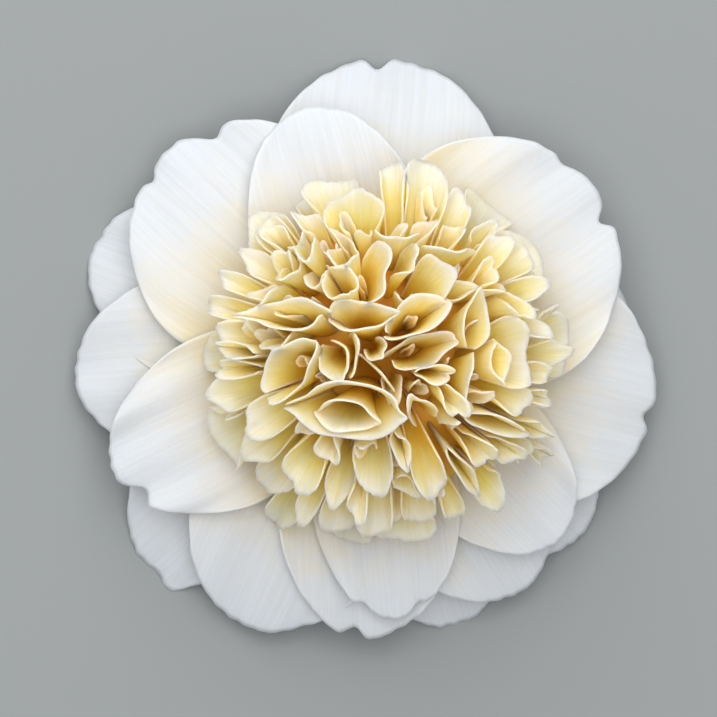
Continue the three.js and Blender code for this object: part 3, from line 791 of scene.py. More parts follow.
CHOSEN_PETALOIDS = (
    Petaloid(-14, 5.5, 0, -176, 0, 6.75, 2, 30, 0.6, 0.1),
    Petaloid(-3.5, 5.5, 0, 0, 0, 5, 2.25, 20, 0.6, 0.1),
    Petaloid(5, 5, 0, 28, 0, 5.25, 2.25, 25, 0.7, 0.1),
    Petaloid(-6.5, 10.5, 0, -50, 0, 3.25, 2.25, 30, 0.5, 0.12),
    Petaloid(-11, 16, 0, -75, 0, 3.25, 1.5, 80, 0.1, 0.2),
    Petaloid(-5.5, 15.5, 0, -90, 0, 3.25, 2, 60, 0.1, 0.2),
    Petaloid(-1.5, 12.5, 0, 0, 12, 2.75, 5, 150, 0, 0.3),
    Petaloid(-14, -3, 0.3, 50, 0, 6.25, 3.25, 20, 0.3, 0.12),
    Petaloid(-7.5, -1, 0, -60, 5, 3, 2.25, 60, 0.6, 0.2),
    Petaloid(-5, -0.5, 0, 0, 4, 1.25, 3.75, 150, 0.1, 0.3),
    Petaloid(-21.5, 0, 0, 165, 0, 3.75, 1, 20, 0.6, 0.15),
    Petaloid(-21.5, -3, 0.5, 180, 0, 4, 1, 60, 0.4, 0.2),
    Petaloid(-5.5, -9, -0.6, -3, 0, 9.25, 4, 14, 0.6, 0.08),
    Petaloid(-5.5, -10, 0, -5, 0, 4.75, 2.25, 14, 0.5, 0.08),
    Petaloid(6, 0, 0, 15, 0, 5.5, 2.25, 40, 0.5, 0.15),
    Petaloid(15, 4, 0, 90, 0, 4.25, 2, 60, 0.2, 0.2),
    Petaloid(15, -5, 0, 180, 8, 2, 4.75, 150, 0.1, 0.3),
    Petaloid(18.5, -1.5, 0, -90, 0, 3.5, 1.25, 30, 0.5, 0.15),
    Petaloid(21.5, -0.5, 0, 0, 10, 2.25, 6, 150, 0.1, 0.3),
    Petaloid(2, -5, 0, -90, 0, 2, 1.5, 120, 0, 0.2),
    Petaloid(-1, -3.5, 0, 45, 0, 0.75, 4.25, 170, 0.1, 0.2),
    Petaloid(-1, 0.5, -0.6, -45, 4, 1.75, 1.75, 120, 0.3, 0.2),
    Petaloid(8, -3.5, 0, 0, 0, 2.75, 1, 30, 0.5, 0.15),
    Petaloid(11, -7.5, 0, -60, 5, 2.5, 1.25, 60, 0.4, 0.2),
    Petaloid(6.5, -10, 0, 120, 8, 3.25, 2.25, 120, 0.4, 0.3),
    Petaloid(8, 11.5, 0, 10, 8, 2, 4, 160, 0.1, 0.3),
    Petaloid(3.5, 14.5, 0, -20, 6, 2, 3, 150, 0.1, 0.3),
    Petaloid(18.5, 11, 0, -70, 8, 2, 3, 150, 0.1, 0.3),
    Petaloid(11.5, 17, 0, -80, 10, 2, 5, 150, 0.1, 0.3),
    Petaloid(-4, 22, 0, 60, 5, 2.5, 5, 140, 0.1, 0.3),
    Petaloid(8, 25.5, -2.5, 86, 24, 3.25, 4.5, 140, 0.25, 0.4),
    Petaloid(3, 26, -1.5, 98, 22, 2.5, 2.5, 130, 0.2, 0.35),
    Petaloid(13.5, 23, -1, 70, 15, 2.25, 2.5, 130, 0.1, 0.4),
    Petaloid(3, 19, 0, -90, 8, 2.25, 3.25, 130, 0.2, 0.3),
    Petaloid(-2.5, 19.5, 0, -100, 6, 2, 1.25, 100, 0.2, 0.3),
    Petaloid(-14.5, 13.5, 0, -80, 8, 3, 2, 100, 0.1, 0.3),
    Petaloid(-16.5, 19, 0, 150, 12, 2.25, 2.75, 130, 0.2, 0.4),
    Petaloid(-19.5, 14.5, 0, 160, 15, 2.25, 2, 140, 0.2, 0.4),
    Petaloid(-22.5, 11, 0, 168, 15, 2.25, 1.75, 140, 0.3, 0.4),
    Petaloid(-24.5, 7, -1, -175, 20, 3.25, 2, 120, 0.6, 0.5),
    Petaloid(-18.5, 9, 0, -75, 8, 2, 4, 150, 0.1, 0.3),
    Petaloid(-16.5, 2, 0.5, -80, 8, 1.5, 3, 150, 0.1, 0.25),
    Petaloid(-23.5, -7, 0, -160, 15, 2.5, 3, 140, 0.2, 0.4),
    Petaloid(-24, 3, 0.5, -170, 12, 2.25, 2.25, 140, 0.2, 0.4),
    Petaloid(-18.5, -11, 0, -145, 20, 3, 3.5, 140, 0.2, 0.45),
    Petaloid(-19.5, -16, 0, -125, 22, 3, 3.25, 140, 0.3, 0.45),
    Petaloid(-17, -21.5, 0, -120, 25, 3.25, 4, 140, 0.2, 0.45),
    Petaloid(-12, -19, 0, -105, 15, 3.75, 3.25, 110, 0.5, 0.4),
    Petaloid(-6.5, -22, 0, -95, 15, 3.25, 2.5, 120, 0.3, 0.4),
    Petaloid(-14.5, -27, -0.5, -112, 24, 2.75, 3.25, 140, 0.3, 0.45),
    Petaloid(-11, -25.5, -0.5, -100, 25, 2.25, 2.25, 140, 0.3, 0.45),
    Petaloid(-6, -27.5, -0.5, -98, 25, 3, 3.25, 140, 0.3, 0.45),
    Petaloid(-3, -24.5, 0, -90, 15, 2.75, 1.5, 100, 0.2, 0.3),
    Petaloid(0, -28, -1, -90, 25, 2.75, 3.25, 140, 0.1, 0.3),
    Petaloid(-1, -19, 0, -75, 22, 4.25, 3.5, 140, 0.05, 0.3),
    Petaloid(8, -19.5, 0, -70, 20, 4.25, 2.75, 130, 0.1, 0.3),
    Petaloid(3, -15, 0, -64, 0, 2.75, 0.75, 24, 0.6, 0.15),
    Petaloid(13, -18.5, 0, -52, 0, 5.25, 0.75, 24, 0.6, 0.15),
    Petaloid(18, -22, 0, -70, 5, 3, 2.5, 80, 0.2, 0.25),
    Petaloid(18, -11.5, 0, -12, 0, 6, 1.25, 30, 0.8, 0.2),
    Petaloid(15.5, -15.5, 0, -35, 0, 2.75, 1.5, 50, 0.5, 0.25),
    Petaloid(20, -15.5, 0, -25, 4, 3.25, 1.25, 40, 0.6, 0.25),
    Petaloid(25, -12.5, 0, -15, 8, 3.25, 1.25, 40, 0.6, 0.3),
    Petaloid(27, -16.5, 0, -12, 8, 3.75, 1.25, 40, 0.6, 0.3),
    Petaloid(25.5, -3.5, 0, -10, 8, 3.25, 1.5, 60, 0.4, 0.3),
    Petaloid(29, -0.5, 0, 20, 15, 2, 2, 120, 0.2, 0.4),
    Petaloid(26, -7.5, 0, -8, 8, 2.5, 1, 60, 0.4, 0.3),
    Petaloid(21.5, -7.5, 0, -45, 12, 2.25, 2.25, 130, 0.2, 0.35),
    Petaloid(25, 4, 0, -60, 10, 2, 2.25, 130, 0.2, 0.35),
    Petaloid(21.5, 7.5, 0, -60, 6, 2.75, 1.75, 80, 0.2, 0.25),
    Petaloid(23, 14.5, 0, 25, 15, 2, 2.5, 140, 0.2, 0.4),
    Petaloid(19, 16, 0, 55, 12, 2, 2.5, 140, 0.2, 0.4),
    Petaloid(24.5, 10, 0, -20, 10, 2.25, 2.25, 130, 0.3, 0.35),
    Petaloid(7.5, -27.5, 1, -85, 25, 2.75, 3, 140, 0.2, 0.45),
    Petaloid(13, -26, 0, -70, 15, 2.5, 1.75, 100, 0.2, 0.4),
)


@dataclass(frozen=True)
class WhorlKind:
    """The middle form of one kind of whorl petaloid.

    Attributes:
        heading: How far a draw turns its tip from outwards, degrees.
        lean: How far it leans, degrees.
        half_length: From the mouth's middle to the tip.
        half_width: From the mouth's middle to either side.
        gap: The smallest and the largest gap behind, degrees.
    """

    heading: float
    lean: float
    half_length: float
    half_width: float
    gap: tuple[float, float]


LOW_SPOON = WhorlKind(30, 12, 2.2, 4.6, (80, 170))
HIGH_CUP = WhorlKind(120, 5, 2.8, 2.6, (30, 120))
FIRST_WHORL = 100  # number of the first whorl petaloid
FIRST_FILLER = 300  # number of the first filler


@dataclass(frozen=True)
class Core:
    """The smooth core that the petaloids' roots lie in, with a narrow foot and a sunken crown.

    Attributes:
        foot: Radius and height of the corners of its foot and its underside.
        radius: Its widest radius.
        rise: From its widest level to where its crown would be, were it not sunken.
        level: Height of that widest level.
        angles: Angles from the axis at which its flank has a corner, degrees.
        crown: Radius and height of the corners of its crown.
        sides: How many sides it has.
    """

    foot: tuple[tuple[float, float], ...] = ((0, 9.5), (2.0, 9.5), (2.6, 11.6), (12.6, 14.0))
    radius: float = 21.0
    rise: float = 14.0
    level: float = 15.8
    angles: tuple[float, ...] = (85, 72, 60, 48, 36, 22)
    crown: tuple[tuple[float, float], ...] = ((4.2, 26.8), (0, 25.6))
    sides: int = 48

    def build(self, centre: tuple[float, float]) -> bpy.types.Object:
        """Make the core.

        Args:
            centre: Where its axis stands.

        Returns:
            The piece.
        """
        turns = [angle * DEGREE for angle in self.angles]
        flank = [
            (self.radius * math.sin(turn), self.level + self.rise * math.cos(turn)) for turn in turns
        ]
        # It takes the petaloids' root colour, the deepest gold: partly their pigment, partly painted
        # shade of the hollows that it fills.
        mesh = Mesh()
        add_turned(mesh, [*self.foot, *flank, *self.crown], self.sides, centre)
        return mesh.build("petaloid_core")


@dataclass
class Mound:
    """The dome of cream petaloids: chosen ones, and whorls and fillers round them by a rule.

    Attributes:
        make: How finely a petaloid is divided, and how thick it is.
        count: Places for whorl petaloids, from the crown down.
        radius: From the mound's middle to the tips of the lowest petaloids.
        rise: From its widest level to its crown.
        level: Height of that widest level.
        offset: Where the mound's middle stands.
        highest: Angle from the axis to the highest whorl petaloids.
        shoulder: Those below this are broad spoons, those above it small cups.
        lowest: Angle from the axis to the lowest ones.
        widest: How close to the mound's widest a chosen petaloid's axis may start.
        steepest: Steepness past which a tip no longer keeps its heading seen from above.
        pit: Where the crown is hollow.
        pit_depth: How deep the hollow is.
        pit_radius: How wide it is.
        uneven: How far a mouth may lie above or below its place.
        berth: How far the upper part of a whorl petaloid keeps from the others.
        fillers: Places for the small petaloids between the others.
        round: How many of those places one round over the crown has.
        filler_berth: How far the upper part of a filler keeps from the others.
        filler_lowest: Angle from the axis to the lowest fillers.
        length: From a petaloid's foot in the core to its rim.
        drop_stretch: How much longer it is for each millimetre that its mouth stands out.
        lean_stretch: How much longer it is for each degree that it leans.
        core: The core that their roots lie in.
        bands: Pieces that the petaloids are gathered in.
        pale_above: Petaloids whose direction rises less than this are paler.
        paler: By how much at most.
    """

    make: Build = Build(22, 36, 0.4, 0.16)
    count: int = 120
    radius: float = 29.2
    rise: float = 25.0
    level: float = 16.2
    offset: tuple[float, float] = (2.3, -1.4)
    highest: float = 10 * DEGREE
    shoulder: float = 50 * DEGREE
    lowest: float = 93 * DEGREE
    widest: float = 0.995
    steepest: float = 0.35
    pit: tuple[float, float] = (2.7, -3.0)
    pit_depth: float = 6.0
    pit_radius: float = 5.5
    uneven: float = 0.8
    berth: float = 1.8
    fillers: int = 2400
    round: int = 400
    filler_berth: float = 0.55
    filler_lowest: float = 68 * DEGREE
    length: float = 14.0
    drop_stretch: float = 1.2
    lean_stretch: float = 0.12
    core: Core = Core()
    bands: int = 6
    pale_above: float = 0.75
    paler: float = 2.0

    def pit_drop(self, x: float, y: float) -> float:
        """Give how much lower the crown is over a place near the pit."""
        away = math.hypot(x - self.pit[0], y - self.pit[1]) / self.pit_radius
        return self.pit_depth * math.exp(-away * away)

    def stand(self, polar: float, bearing: float) -> tuple[float, float, float]:
        """Give the place on the mound's plain surface in a direction from its middle.

        Args:
            polar: Angle of the direction from the flower's axis.
            bearing: Its angle from +X, seen from above.

        Returns:
            The place to the right of the axis, behind it, and over the surface that it rests on.
        """
        x = self.offset[0] + self.radius * math.sin(polar) * math.cos(bearing)
        y = self.offset[1] + self.radius * math.sin(polar) * math.sin(bearing)
        return x, y, self.level + self.rise * math.cos(polar) - self.pit_drop(x, y)

    def chosen(self, number: int, form: Petaloid) -> Cup:
        """Lay out a chosen petaloid on the mound's surface.

        Args:
            number: Its number in the mound.
            form: Its form.

        Returns:
            Its middle sheet.
        """
        x, y = form.x - self.offset[0], form.y - self.offset[1]
        across = math.hypot(x, y) / self.radius
        dome = math.sqrt(max(0.0, 1 - across * across))
        height = self.level + self.rise * dome - self.pit_drop(form.x, form.y)
        polar = math.asin(min(self.widest, across))
        return self.lay(number, form, polar, math.atan2(y, x), height)

    def lay(self, number: int, form: Petaloid, polar: float, bearing: float, height: float) -> Cup:
        """Lay out a petaloid that grows out of the mound in a direction.

        Args:
            number: Its number in the mound.
            form: Its form.
            polar: Angle of the direction from the flower's axis.
            bearing: Its angle from +X, seen from above.
            height: Height of the mound's surface there.

        Returns:
            Its middle sheet.
        """
        axis = math.sin(polar) * outward(bearing) + math.cos(polar) * UP
        level = outward(form.heading * DEGREE)
        # Seen from above the tip points along the heading: the direction is tilted into the surface.
        ahead = level - UP * (level @ axis) / max(self.steepest, axis[2])
        ahead = ahead - axis * (ahead @ axis)
        ahead /= np.linalg.norm(ahead)
        lean = form.lean * DEGREE
        grow = axis * math.cos(lean) + ahead * math.sin(lean)
        ahead = ahead * math.cos(lean) - axis * math.sin(lean)
        sunk = form.drop + self.uneven * draw(number, Trait.DEPTH)
        stretch = self.drop_stretch * max(0.0, -form.drop)
        return Cup(
            number=number,
            make=self.make,
            mouth=np.array([form.x, form.y, height]) - axis * sunk,
            axis=grow,
            ahead=ahead,
            aside=np.cross(grow, ahead),
            form=form,
            length=self.length + stretch + self.lean_stretch * form.lean,
            wave=(
                0.7 + 0.3 * draw(number, Trait.WAVE_HEIGHT),
                2.5 + 0.8 * draw(number, Trait.WAVE_COUNT),
                math.pi * draw(number, Trait.WAVE_PHASE),
            ),
            crumple=0.12 + 0.05 * draw(number, Trait.CRUMPLE),
            flare=0.5 + 0.3 * draw(number, Trait.FLARE),
            nick=0.006 + 0.004 * draw(number, Trait.NICK),
        )

    def whorl(self, index: int) -> Cup:
        """Lay out one petaloid of the whorls, by the golden angle from the crown down.

        Args:
            index: Its number from the highest.

        Returns:
            Its middle sheet.
        """
        share = (index + 0.5) / self.count
        polar = math.acos(mix(math.cos(self.highest), math.cos(self.lowest), share))
        bearing = index * GOLDEN_ANGLE + 0.12 * draw(index, Trait.BEARING)
        x, y, height = self.stand(polar, bearing)
        kind = LOW_SPOON if polar > self.shoulder else HIGH_CUP
        form = Petaloid(
            x=x,
            y=y,
            drop=0.6,
            heading=bearing / DEGREE + kind.heading * draw(index, Trait.HEADING),
            lean=kind.lean + 8 * draw(index, Trait.LEAN),
            half_length=kind.half_length + 0.9 * draw(index, Trait.HALF_LENGTH),
            half_width=kind.half_width + 1.0 * draw(index, Trait.HALF_WIDTH),
            gap=mix(*kind.gap, 0.6 + 0.4 * draw(index, Trait.OPENNESS)),
            peak=0.3 + 0.3 * draw(index, Trait.PEAK),
            fall=0.3 + 0.12 * draw(index, Trait.FALL),
        )
        return self.lay(FIRST_WHORL + index, form, polar, bearing, height)

    def filler(self, index: int) -> Cup:
        """Lay out one of the small petaloids that crowd between the others, smaller round by round.

        Args:
            index: Its number, from the crown down in every round.

        Returns:
            Its middle sheet.
        """
        late = index // self.round / (self.fillers // self.round - 1)
        share = (index % self.round + 0.5) / self.round
        polar = math.acos(mix(1, math.cos(self.filler_lowest), share))
        bearing = index * GOLDEN_ANGLE + 0.2 * draw(index, Trait.FILLER_BEARING)
        x, y, height = self.stand(polar, bearing)
        form = Petaloid(
            x=x,
            y=y,
            drop=mix(2.0, 4.0, late) + draw(index, Trait.FILLER_DROP),
            heading=180 * draw(index, Trait.FILLER_HEADING),
            lean=6 * draw(index, Trait.FILLER_LEAN),
            half_length=mix(2.1, 0.9, late) + 0.3 * draw(index, Trait.FILLER_HALF_LENGTH),
            half_width=mix(1.5, 0.9, late) + 0.3 * draw(index, Trait.FILLER_HALF_WIDTH),
            gap=mix(80, 130, late) + 50 * draw(index, Trait.FILLER_GAP),
            peak=0.3 + 0.3 * draw(index, Trait.FILLER_PEAK),
            fall=0.2,
        )
        return self.lay(FIRST_FILLER + index, form, polar, bearing, height)

    def cups(self) -> list[Cup]:
        """Lay out every petaloid, the chosen ones first, less those whose rim would meet another's.

        Returns:
            Their middle sheets.
        """
        cups = [self.chosen(number, form) for number, form in enumerate(CHOSEN_PETALOIDS)]
        kinds = ((self.whorl, self.count, self.berth), (self.filler, self.fillers, self.filler_berth))
        for lay, count, berth in kinds:
            for index in range(count):
                cup = lay(index)
                if cup.keeps_clear(cups, berth):
                    cups.append(cup)
        return cups

    def build(self) -> list[bpy.types.Object]:
        """Make the core and the petaloids, which are gathered in bands.

        Returns:
            The pieces.
        """
        cups = self.cups()
        LOG.info("%d petaloids", len(cups))
        pieces = [self.core.build(self.offset)]
        for band in range(self.bands):
            mesh = Mesh()
            first, last = (k * len(cups) // self.bands for k in (band, band + 1))
            for number in range(first, last):
                pale = max(0.0, 1 - cups[number].axis[2] / self.pale_above)
                tone = draw(number, Trait.PETALOID_TONE) + self.paler * pale
                add_blade(mesh, cups[number], tone)
            pieces.append(mesh.build(f"petaloids_{band + 1}"))
        return pieces


@dataclass(frozen=True)
class Heart:
    """The receptacle that carries the petals, and the stump under it with the scar.

    Attributes:
        receptacle: Radius and height of each corner of its profile.
        stump: The same for the stump.
        sides: How many sides they have.
    """

    receptacle: tuple[tuple[float, float], ...] = (
        (0, 4.6),
        (4.2, 4.6),
        (6.2, 6.4),
        (6.2, 7.8),
        (4.6, 9.2),
        (0, 9.2),
    )
    stump: tuple[tuple[float, float], ...] = (
        (0, 0),
        (2.6, 0),
        (3.6, 1.2),
        (3.9, 2.6),
        (3.4, 4.3),
        (0, 4.3),
    )
    sides: int = 48

    def build(self, name: str, profile: tuple[tuple[float, float], ...]) -> bpy.types.Object:
        """Make one of the two.

        Args:
            name: Name of the piece.
            profile: Its profile.

        Returns:
            The piece.
        """
        mesh = Mesh()
        add_turned(mesh, list(profile), self.sides, (0.0, 0.0))
        return mesh.build(name)


@dataclass(frozen=True)
class SepalRing:
    """One ring of sepals.

    Attributes:
        root: Radius and height where its sepals start.
        bend: Radius and height that they lean towards.
        tip: Radius and height of their tips.
        width: Width of a sepal.
        first: Bearing of the first one, degrees from +X.
    """

    root: tuple[float, float]
    bend: tuple[float, float]
    tip: tuple[float, float]
    width: float
    first: float


SEPAL_RINGS = (
    SepalRing((2.4, 1.2), (5.6, 0.9), (8.6, 3.4), 8.4, 20),
    SepalRing((2.4, 2.2), (6.6, 2.3), (10.4, 5.9), 9.2, 56),
)


@dataclass(frozen=True)
class Calyx:
    """Two rings of sepals round the stump.

    Attributes:
        outline: Their flat outline.
        make: How finely they are divided, and how thick they are.
        count: Sepals in a ring.
        cup: Arc of a sepal's cross-section at root and tip.
    """

    outline: Outline = Outline(0.6, 0.7, 0.6)
    make: Build = Build(20, 24, 0.8, 0.3)
    count: int = 5
    cup: tuple[float, float] = (80 * DEGREE, 60 * DEGREE)

    def sheet(self, index: int, ring: SepalRing) -> Sheet:
        """Lay out one sepal.

        Args:
            index: Its place in the ring.
            ring: The ring.

        Returns:
            Its middle sheet.
        """
        angle = (ring.first + index * 360 / self.count) * DEGREE
        out = outward(angle)
        spine = (ring.root, ring.bend, ring.tip)
        root, bend, tip = (radius * out + height * UP for radius, height in spine)
        return Sheet(
            number=index,
            make=self.make,
            root=root,
            bend=bend,
            tip=tip,
            side=np.array([-math.sin(angle), math.cos(angle), 0.0]),
            outline=self.outline,
            width=ring.width,
            cup=self.cup,
        )

    def build(self) -> bpy.types.Object:
        """Make the sepals.

        Returns:
            The piece.
        """
        mesh = Mesh()
        for ring in SEPAL_RINGS:
            for index in range(self.count):
                add_blade(mesh, self.sheet(index, ring), draw(index, Trait.SEPAL_TONE))
        return mesh.build("sepals")


def add_node(
    tree: bpy.types.NodeTree,
    kind: str,
    settings: dict[str | int, object],
    links: dict[str | int, bpy.types.NodeSocket],
) -> bpy.types.Node:
    """Add a node with its settings and links.

    Args:
        tree: Tree that it is added to.
        kind: Blender's name of the node type.
        settings: Values by the name of a property, or the name or number of an input; "stops"
            holds the place and the sRGB hex colour of each stop of a colour ramp.
        links: Output sockets by the name or number of the input that they feed.

    Returns:
        The node.
    """
    node = tree.nodes.new(kind)
    for name, value in settings.items():
        if name == "stops":
            elements = node.color_ramp.elements
            while len(elements) < len(value):
                elements.new(0.5)
            for element, (place, code) in zip(elements, value, strict=True):
                element.position = place
                element.color = linear(code)
        elif isinstance(name, int) or name in node.inputs:
            node.inputs[name].default_value = value
        else:
            setattr(node, name, value)
    for name, socket in links.items():
        tree.links.new(socket, node.inputs[name])
    return node


@dataclass(frozen=True)
class PetalFinish:
    """Living petal: thin watery flesh under a waxy skin, so it glows softly and shines a little.

    The flesh is nearly clear, and its air spaces scatter the light; a yellow pigment gathers near
    the root. On the petaloids the deep gold near the root is partly that pigment and partly painted
    shade: the warm glow of the deep hollows between them. Fine veins run from root to margin and
    part the light a little.

    Attributes:
        name: Name of the material.
        stops: Colour from root to margin.
        rim: Colour of the last of the margin.
        rim_width: How far in the rim colour reaches, in millimetres.
        veins: How many veins cross the blade.
        vein_depth: How deep they are pressed in, in millimetres.
        vein_tint: Colour that they multiply the flesh by.
        roughness: Of the waxy skin.
        glow: Share of light that goes through the flesh.
        radius: How far it travels, red, green and blue, in millimetres.
    """

    name: str
    stops: tuple[tuple[float, str], ...]
    rim: str
    rim_width: float
    veins: float
    vein_depth: float
    vein_tint: str
    roughness: float
    glow: float
    radius: tuple[float, float, float]

    def flesh(
        self,
        tree: bpy.types.NodeTree,
        value: dict[str, bpy.types.NodeSocket],
        place: bpy.types.NodeSocket,
    ) -> bpy.types.NodeSocket:
        """Colour the flesh from root to margin, with blotches and a rim.

        Args:
            tree: The material's nodes.
            value: The mesh's values by name.
            place: Place on the object.

        Returns:
            The colour.
        """
        # Blotches about 4 mm wide move the colour a little towards the root or the margin.
        blotch = add_node(
            tree, "ShaderNodeTexNoise", {"Scale": 240.0, "Detail": 2.0}, {"Vector": place}
        ).outputs["Fac"]
        drift = add_node(
            tree,
            "ShaderNodeMapRange",
            {"From Min": 0.3, "From Max": 0.7, "To Min": -0.06, "To Max": 0.06},
            {"Value": blotch},
        ).outputs["Result"]
        own = add_node(
            tree, "ShaderNodeMath", {"operation": "MULTIPLY_ADD", 1: 0.05}, {0: value["tone"], 2: drift}
        ).outputs["Value"]
        depth = add_node(
            tree, "ShaderNodeMath", {"operation": "ADD"}, {0: value["along"], 1: own}
        ).outputs["Value"]
        flesh = add_node(
            tree, "ShaderNodeValToRGB", {"stops": self.stops}, {"Fac": depth}
        ).outputs["Color"]
        near = add_node(
            tree,
            "ShaderNodeMapRange",
            {"From Min": 0.0, "From Max": self.rim_width, "To Min": 0.8, "To Max": 0.0},
            {"Value": value["margin"]},
        ).outputs["Result"]
        return add_node(
            tree,
            "ShaderNodeMix",
            {"data_type": "RGBA", "B": linear(self.rim)},
            {"Factor": near, "A": flesh},
        ).outputs["Result"]

    def streaks(
        self, tree: bpy.types.NodeTree, value: dict[str, bpy.types.NodeSocket]
    ) -> bpy.types.NodeSocket:
        """Lay the veins: irregular streaks that follow the blade from root to margin.

        Args:
            tree: The material's nodes.
            value: The mesh's values by name.

        Returns:
            How much of a vein there is, 0 to 1.
        """
        lanes = add_node(
            tree, "ShaderNodeMath", {"operation": "MULTIPLY", 1: self.veins}, {0: value["across"]}
        ).outputs["Value"]
        run = add_node(
            tree, "ShaderNodeMath", {"operation": "MULTIPLY", 1: 2.2}, {0: value["along"]}
        ).outputs["Value"]
        own_lanes = add_node(
            tree, "ShaderNodeMath", {"operation": "MULTIPLY", 1: 40.0}, {0: value["tone"]}
        ).outputs["Value"]
        lane = add_node(
            tree, "ShaderNodeCombineXYZ", {}, {"X": lanes, "Y": run, "Z": own_lanes}
        ).outputs["Vector"]
        streak = add_node(
            tree, "ShaderNodeTexNoise", {"Scale": 1.0, "Detail": 3.0, "Roughness": 0.6}, {"Vector": lane}
        ).outputs["Fac"]
        return add_node(
            tree, "ShaderNodeMapRange", {"From Min": 0.35, "From Max": 0.7}, {"Value": streak}
        ).outputs["Result"]

    def make(self) -> bpy.types.Material:
        """Make the material.

        Returns:
            The material.
        """
        material = bpy.data.materials.new(self.name)
        material.use_nodes = True
        tree = material.node_tree
        tree.nodes.clear()
        value = {
            name: add_node(tree, "ShaderNodeAttribute", {"attribute_name": name}, {}).outputs["Fac"]
            for name in ("along", "across", "margin", "tone")
        }
        place = add_node(tree, "ShaderNodeTexCoord", {}, {}).outputs["Object"]
        line = self.streaks(tree, value)
        veined = add_node(
            tree,
            "ShaderNodeMix",
            {"data_type": "RGBA", "blend_type": "MULTIPLY", "B": linear(self.vein_tint)},
            {"Factor": line, "A": self.flesh(tree, value, place)},
        ).outputs["Result"]
        # Cells of the skin, drawn coarser than the real tenth of a millimetre.
        cells = add_node(
            tree, "ShaderNodeTexNoise", {"Scale": 2600.0, "Detail": 2.0}, {"Vector": place}
        ).outputs["Fac"]
        height = add_node(
            tree, "ShaderNodeMath", {"operation": "MULTIPLY_ADD", 1: -1.0}, {0: line, 2: cells}
        ).outputs["Value"]
        bump = add_node(
            tree,
            "ShaderNodeBump",
            {"Strength": 0.6, "Distance": self.vein_depth * MM},
            {"Height": height},
        ).outputs["Normal"]
        sheen = add_node(
            tree,
            "ShaderNodeMapRange",
            {"To Min": self.roughness - 0.06, "To Max": self.roughness + 0.06},
            {"Value": cells},
        ).outputs["Result"]
        shader = add_node(
            tree,
            "ShaderNodeBsdfPrincipled",
            {
                "IOR": 1.4,
                "Specular IOR Level": 0.3,
                "Subsurface Weight": self.glow,
                "Subsurface Radius": self.radius,
                "Subsurface Scale": MM,
            },
            {"Base Color": veined, "Roughness": sheen, "Normal": bump},
        )
        add_node(tree, "ShaderNodeOutputMaterial", {}, {"Surface": shader.outputs["BSDF"]})
        return material


WHITE_PETAL = PetalFinish(
    name="white_petal",
    stops=(
        (0.0, "#E8C878"),
        (0.4, "#E3D3A4"),
        (0.62, "#DDD9CC"),
        (0.8, "#D6D9DC"),
        (1.0, "#D2D8DF"),
    ),
    rim="#E0E4E9",
    rim_width=1.0,
    veins=26.0,
    vein_depth=0.03,
    vein_tint="#F8F7F4",
    roughness=0.52,
    glow=0.35,
    radius=(1.6, 1.5, 1.3),
)
CREAM_PETAL = PetalFinish(
    # Deep gold near the root: partly the yellow pigment, partly painted shade of the deep hollows
    # between petaloids.
    name="cream_petal",
    stops=(
        (0.3, "#F2B83A"),
        (0.45, "#F8C950"),
        (0.6, "#FCD870"),
        (0.75, "#FDE394"),
        (0.88, "#FEEBB6"),
        (1.0, "#FEF3D0"),
    ),
    rim="#FEF5D8",
    rim_width=0.5,
    veins=12.0,
    vein_depth=0.03,
    vein_tint="#FBF3E4",
    roughness=0.5,
    glow=0.8,
    radius=(4.5, 3.4, 1.6),
)
SEPAL = PetalFinish(
    name="sepal",
    stops=((0.0, "#5B5A2A"), (0.6, "#7C8040"), (1.0, "#8A7A48")),
    rim="#6A5530",
    rim_width=0.8,
    veins=9.0,
    vein_depth=0.08,
    vein_tint="#F3F0E8",
    roughness=0.65,
    glow=0.1,
    radius=(0.8, 0.8, 0.3),
)


@dataclass(frozen=True)
class Lamp:
    """One soft area lamp. Sizes and places are in metres.

    Attributes:
        name: Its name.
        energy: Its power in watts.
        size: Its width and depth.
        place: Where it stands.
        aim: What it faces.
    """

    name: str
    energy: float
    size: tuple[float, float]
    place: tuple[float, float, float]
    aim: tuple[float, float, float]

    def build(self) -> None:
        """Make the lamp and turn it to what it faces."""
        lamp = bpy.data.lights.new(self.name, "AREA")
        lamp.shape = "RECTANGLE"
        lamp.size, lamp.size_y = self.size
        lamp.energy = self.energy
        holder = bpy.data.objects.new(self.name, lamp)
        holder.location = self.place
        facing = Vector(self.aim) - holder.location
        holder.rotation_euler = facing.to_track_quat("-Z", "Y").to_euler()
        bpy.context.scene.collection.objects.link(holder)


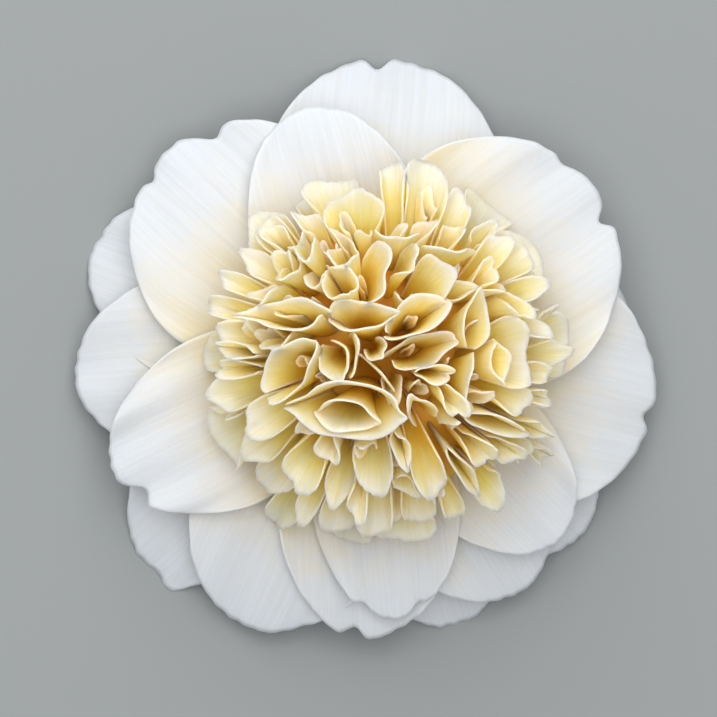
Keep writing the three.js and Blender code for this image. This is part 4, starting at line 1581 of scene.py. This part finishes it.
@dataclass(frozen=True)
class Studio:
    """The pale floor, the soft light and the camera over the bloom. Sizes and places are in metres.

    Attributes:
        floor: Colour of the floor.
        floor_size: Its width.
        sky: Linear colour of the light from all round.
        sky_strength: Its strength.
        lamps: A broad window behind the bloom and a soft ceiling.
        lean: How far the camera leans from upright, to the right and to the back, degrees.
        aim: What the camera faces.
        distance: From there to the camera.
        lens: Its focal length in millimetres.
        sensor: Its sensor's width in millimetres.
    """

    floor: str = "#8F9394"
    floor_size: float = 4
    sky: tuple[float, float, float, float] = (1.0, 0.99, 0.97, 1)
    sky_strength: float = 0.36
    lamps: tuple[Lamp, ...] = (
        Lamp("window", 3.6, (0.9, 0.6), (-0.08, 0.54, 0.5), (0, 0, 0.02)),
        Lamp("ceiling", 7.0, (1.0, 1.0), (-0.05, 0.05, 0.9), (-0.05, 0.05, 0)),
    )
    lean: tuple[float, float] = (-4.5, 1.0)
    aim: tuple[float, float, float] = (-0.0012, -0.0016, 0.012)
    distance: float = 0.6
    lens: float = 196.0
    sensor: float = 36

    def add_floor(self) -> None:
        """Lay the floor."""
        bpy.ops.mesh.primitive_plane_add(size=self.floor_size, location=(0, 0, 0))
        floor = bpy.context.object
        floor.name = "floor"
        material = bpy.data.materials.new("paper_floor")
        material.use_nodes = True
        shader = material.node_tree.nodes["Principled BSDF"]
        shader.inputs["Base Color"].default_value = linear(self.floor)
        shader.inputs["Roughness"].default_value = 0.9
        floor.data.materials.append(material)
        floor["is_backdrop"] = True

    def add_light(self) -> None:
        """Light the bloom from all round and from the lamps."""
        world = bpy.data.worlds.new("studio")
        world.use_nodes = True
        background = world.node_tree.nodes["Background"]
        background.inputs["Color"].default_value = self.sky
        background.inputs["Strength"].default_value = self.sky_strength
        bpy.context.scene.world = world
        for lamp in self.lamps:
            lamp.build()

    def add_camera(self) -> None:
        """Hang the camera over the bloom."""
        data = bpy.data.cameras.new("camera")
        data.lens = self.lens
        data.sensor_width = self.sensor
        camera = bpy.data.objects.new("camera", data)
        right_lean, back_lean = (math.tan(degrees * DEGREE) for degrees in self.lean)
        back = Vector((right_lean, back_lean, 1)).normalized()
        right = Vector((0, 1, 0)).cross(back).normalized()
        turned = Matrix((right, back.cross(right), back)).transposed().to_4x4()
        camera.matrix_world = Matrix.Translation(Vector(self.aim) + back * self.distance) @ turned
        bpy.context.scene.collection.objects.link(camera)
        bpy.context.scene.camera = camera

    def build(self) -> None:
        """Make the floor, the light and the camera."""
        self.add_floor()
        self.add_light()
        self.add_camera()
        bpy.context.scene.view_settings.view_transform = "Standard"


def main() -> None:
    """Build the bloom, part by part."""
    logging.basicConfig(level=logging.INFO, format="%(name)s: %(message)s")
    cad_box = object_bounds()
    Studio().build()
    heart = Heart()
    guard, mound, calyx = GuardRing().build(), Mound().build(), [Calyx().build()]
    guard.append(heart.build("receptacle", heart.receptacle))
    calyx.append(heart.build("stump", heart.stump))
    for pieces, node, finish in (
        (guard, "guard_petals", WHITE_PETAL),
        (mound, "petaloids", CREAM_PETAL),
        (calyx, "calyx", SEPAL),
    ):
        material = finish.make()
        for piece in pieces:
            piece.data.materials.append(material)
            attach(piece, "root")
            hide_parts(node)
            LOG.info("%s: %d faces", piece.name, len(piece.data.polygons))
    [[list(corner) for corner in box] for box in (cad_box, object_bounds())]


if __name__ == "__main__":
    main()
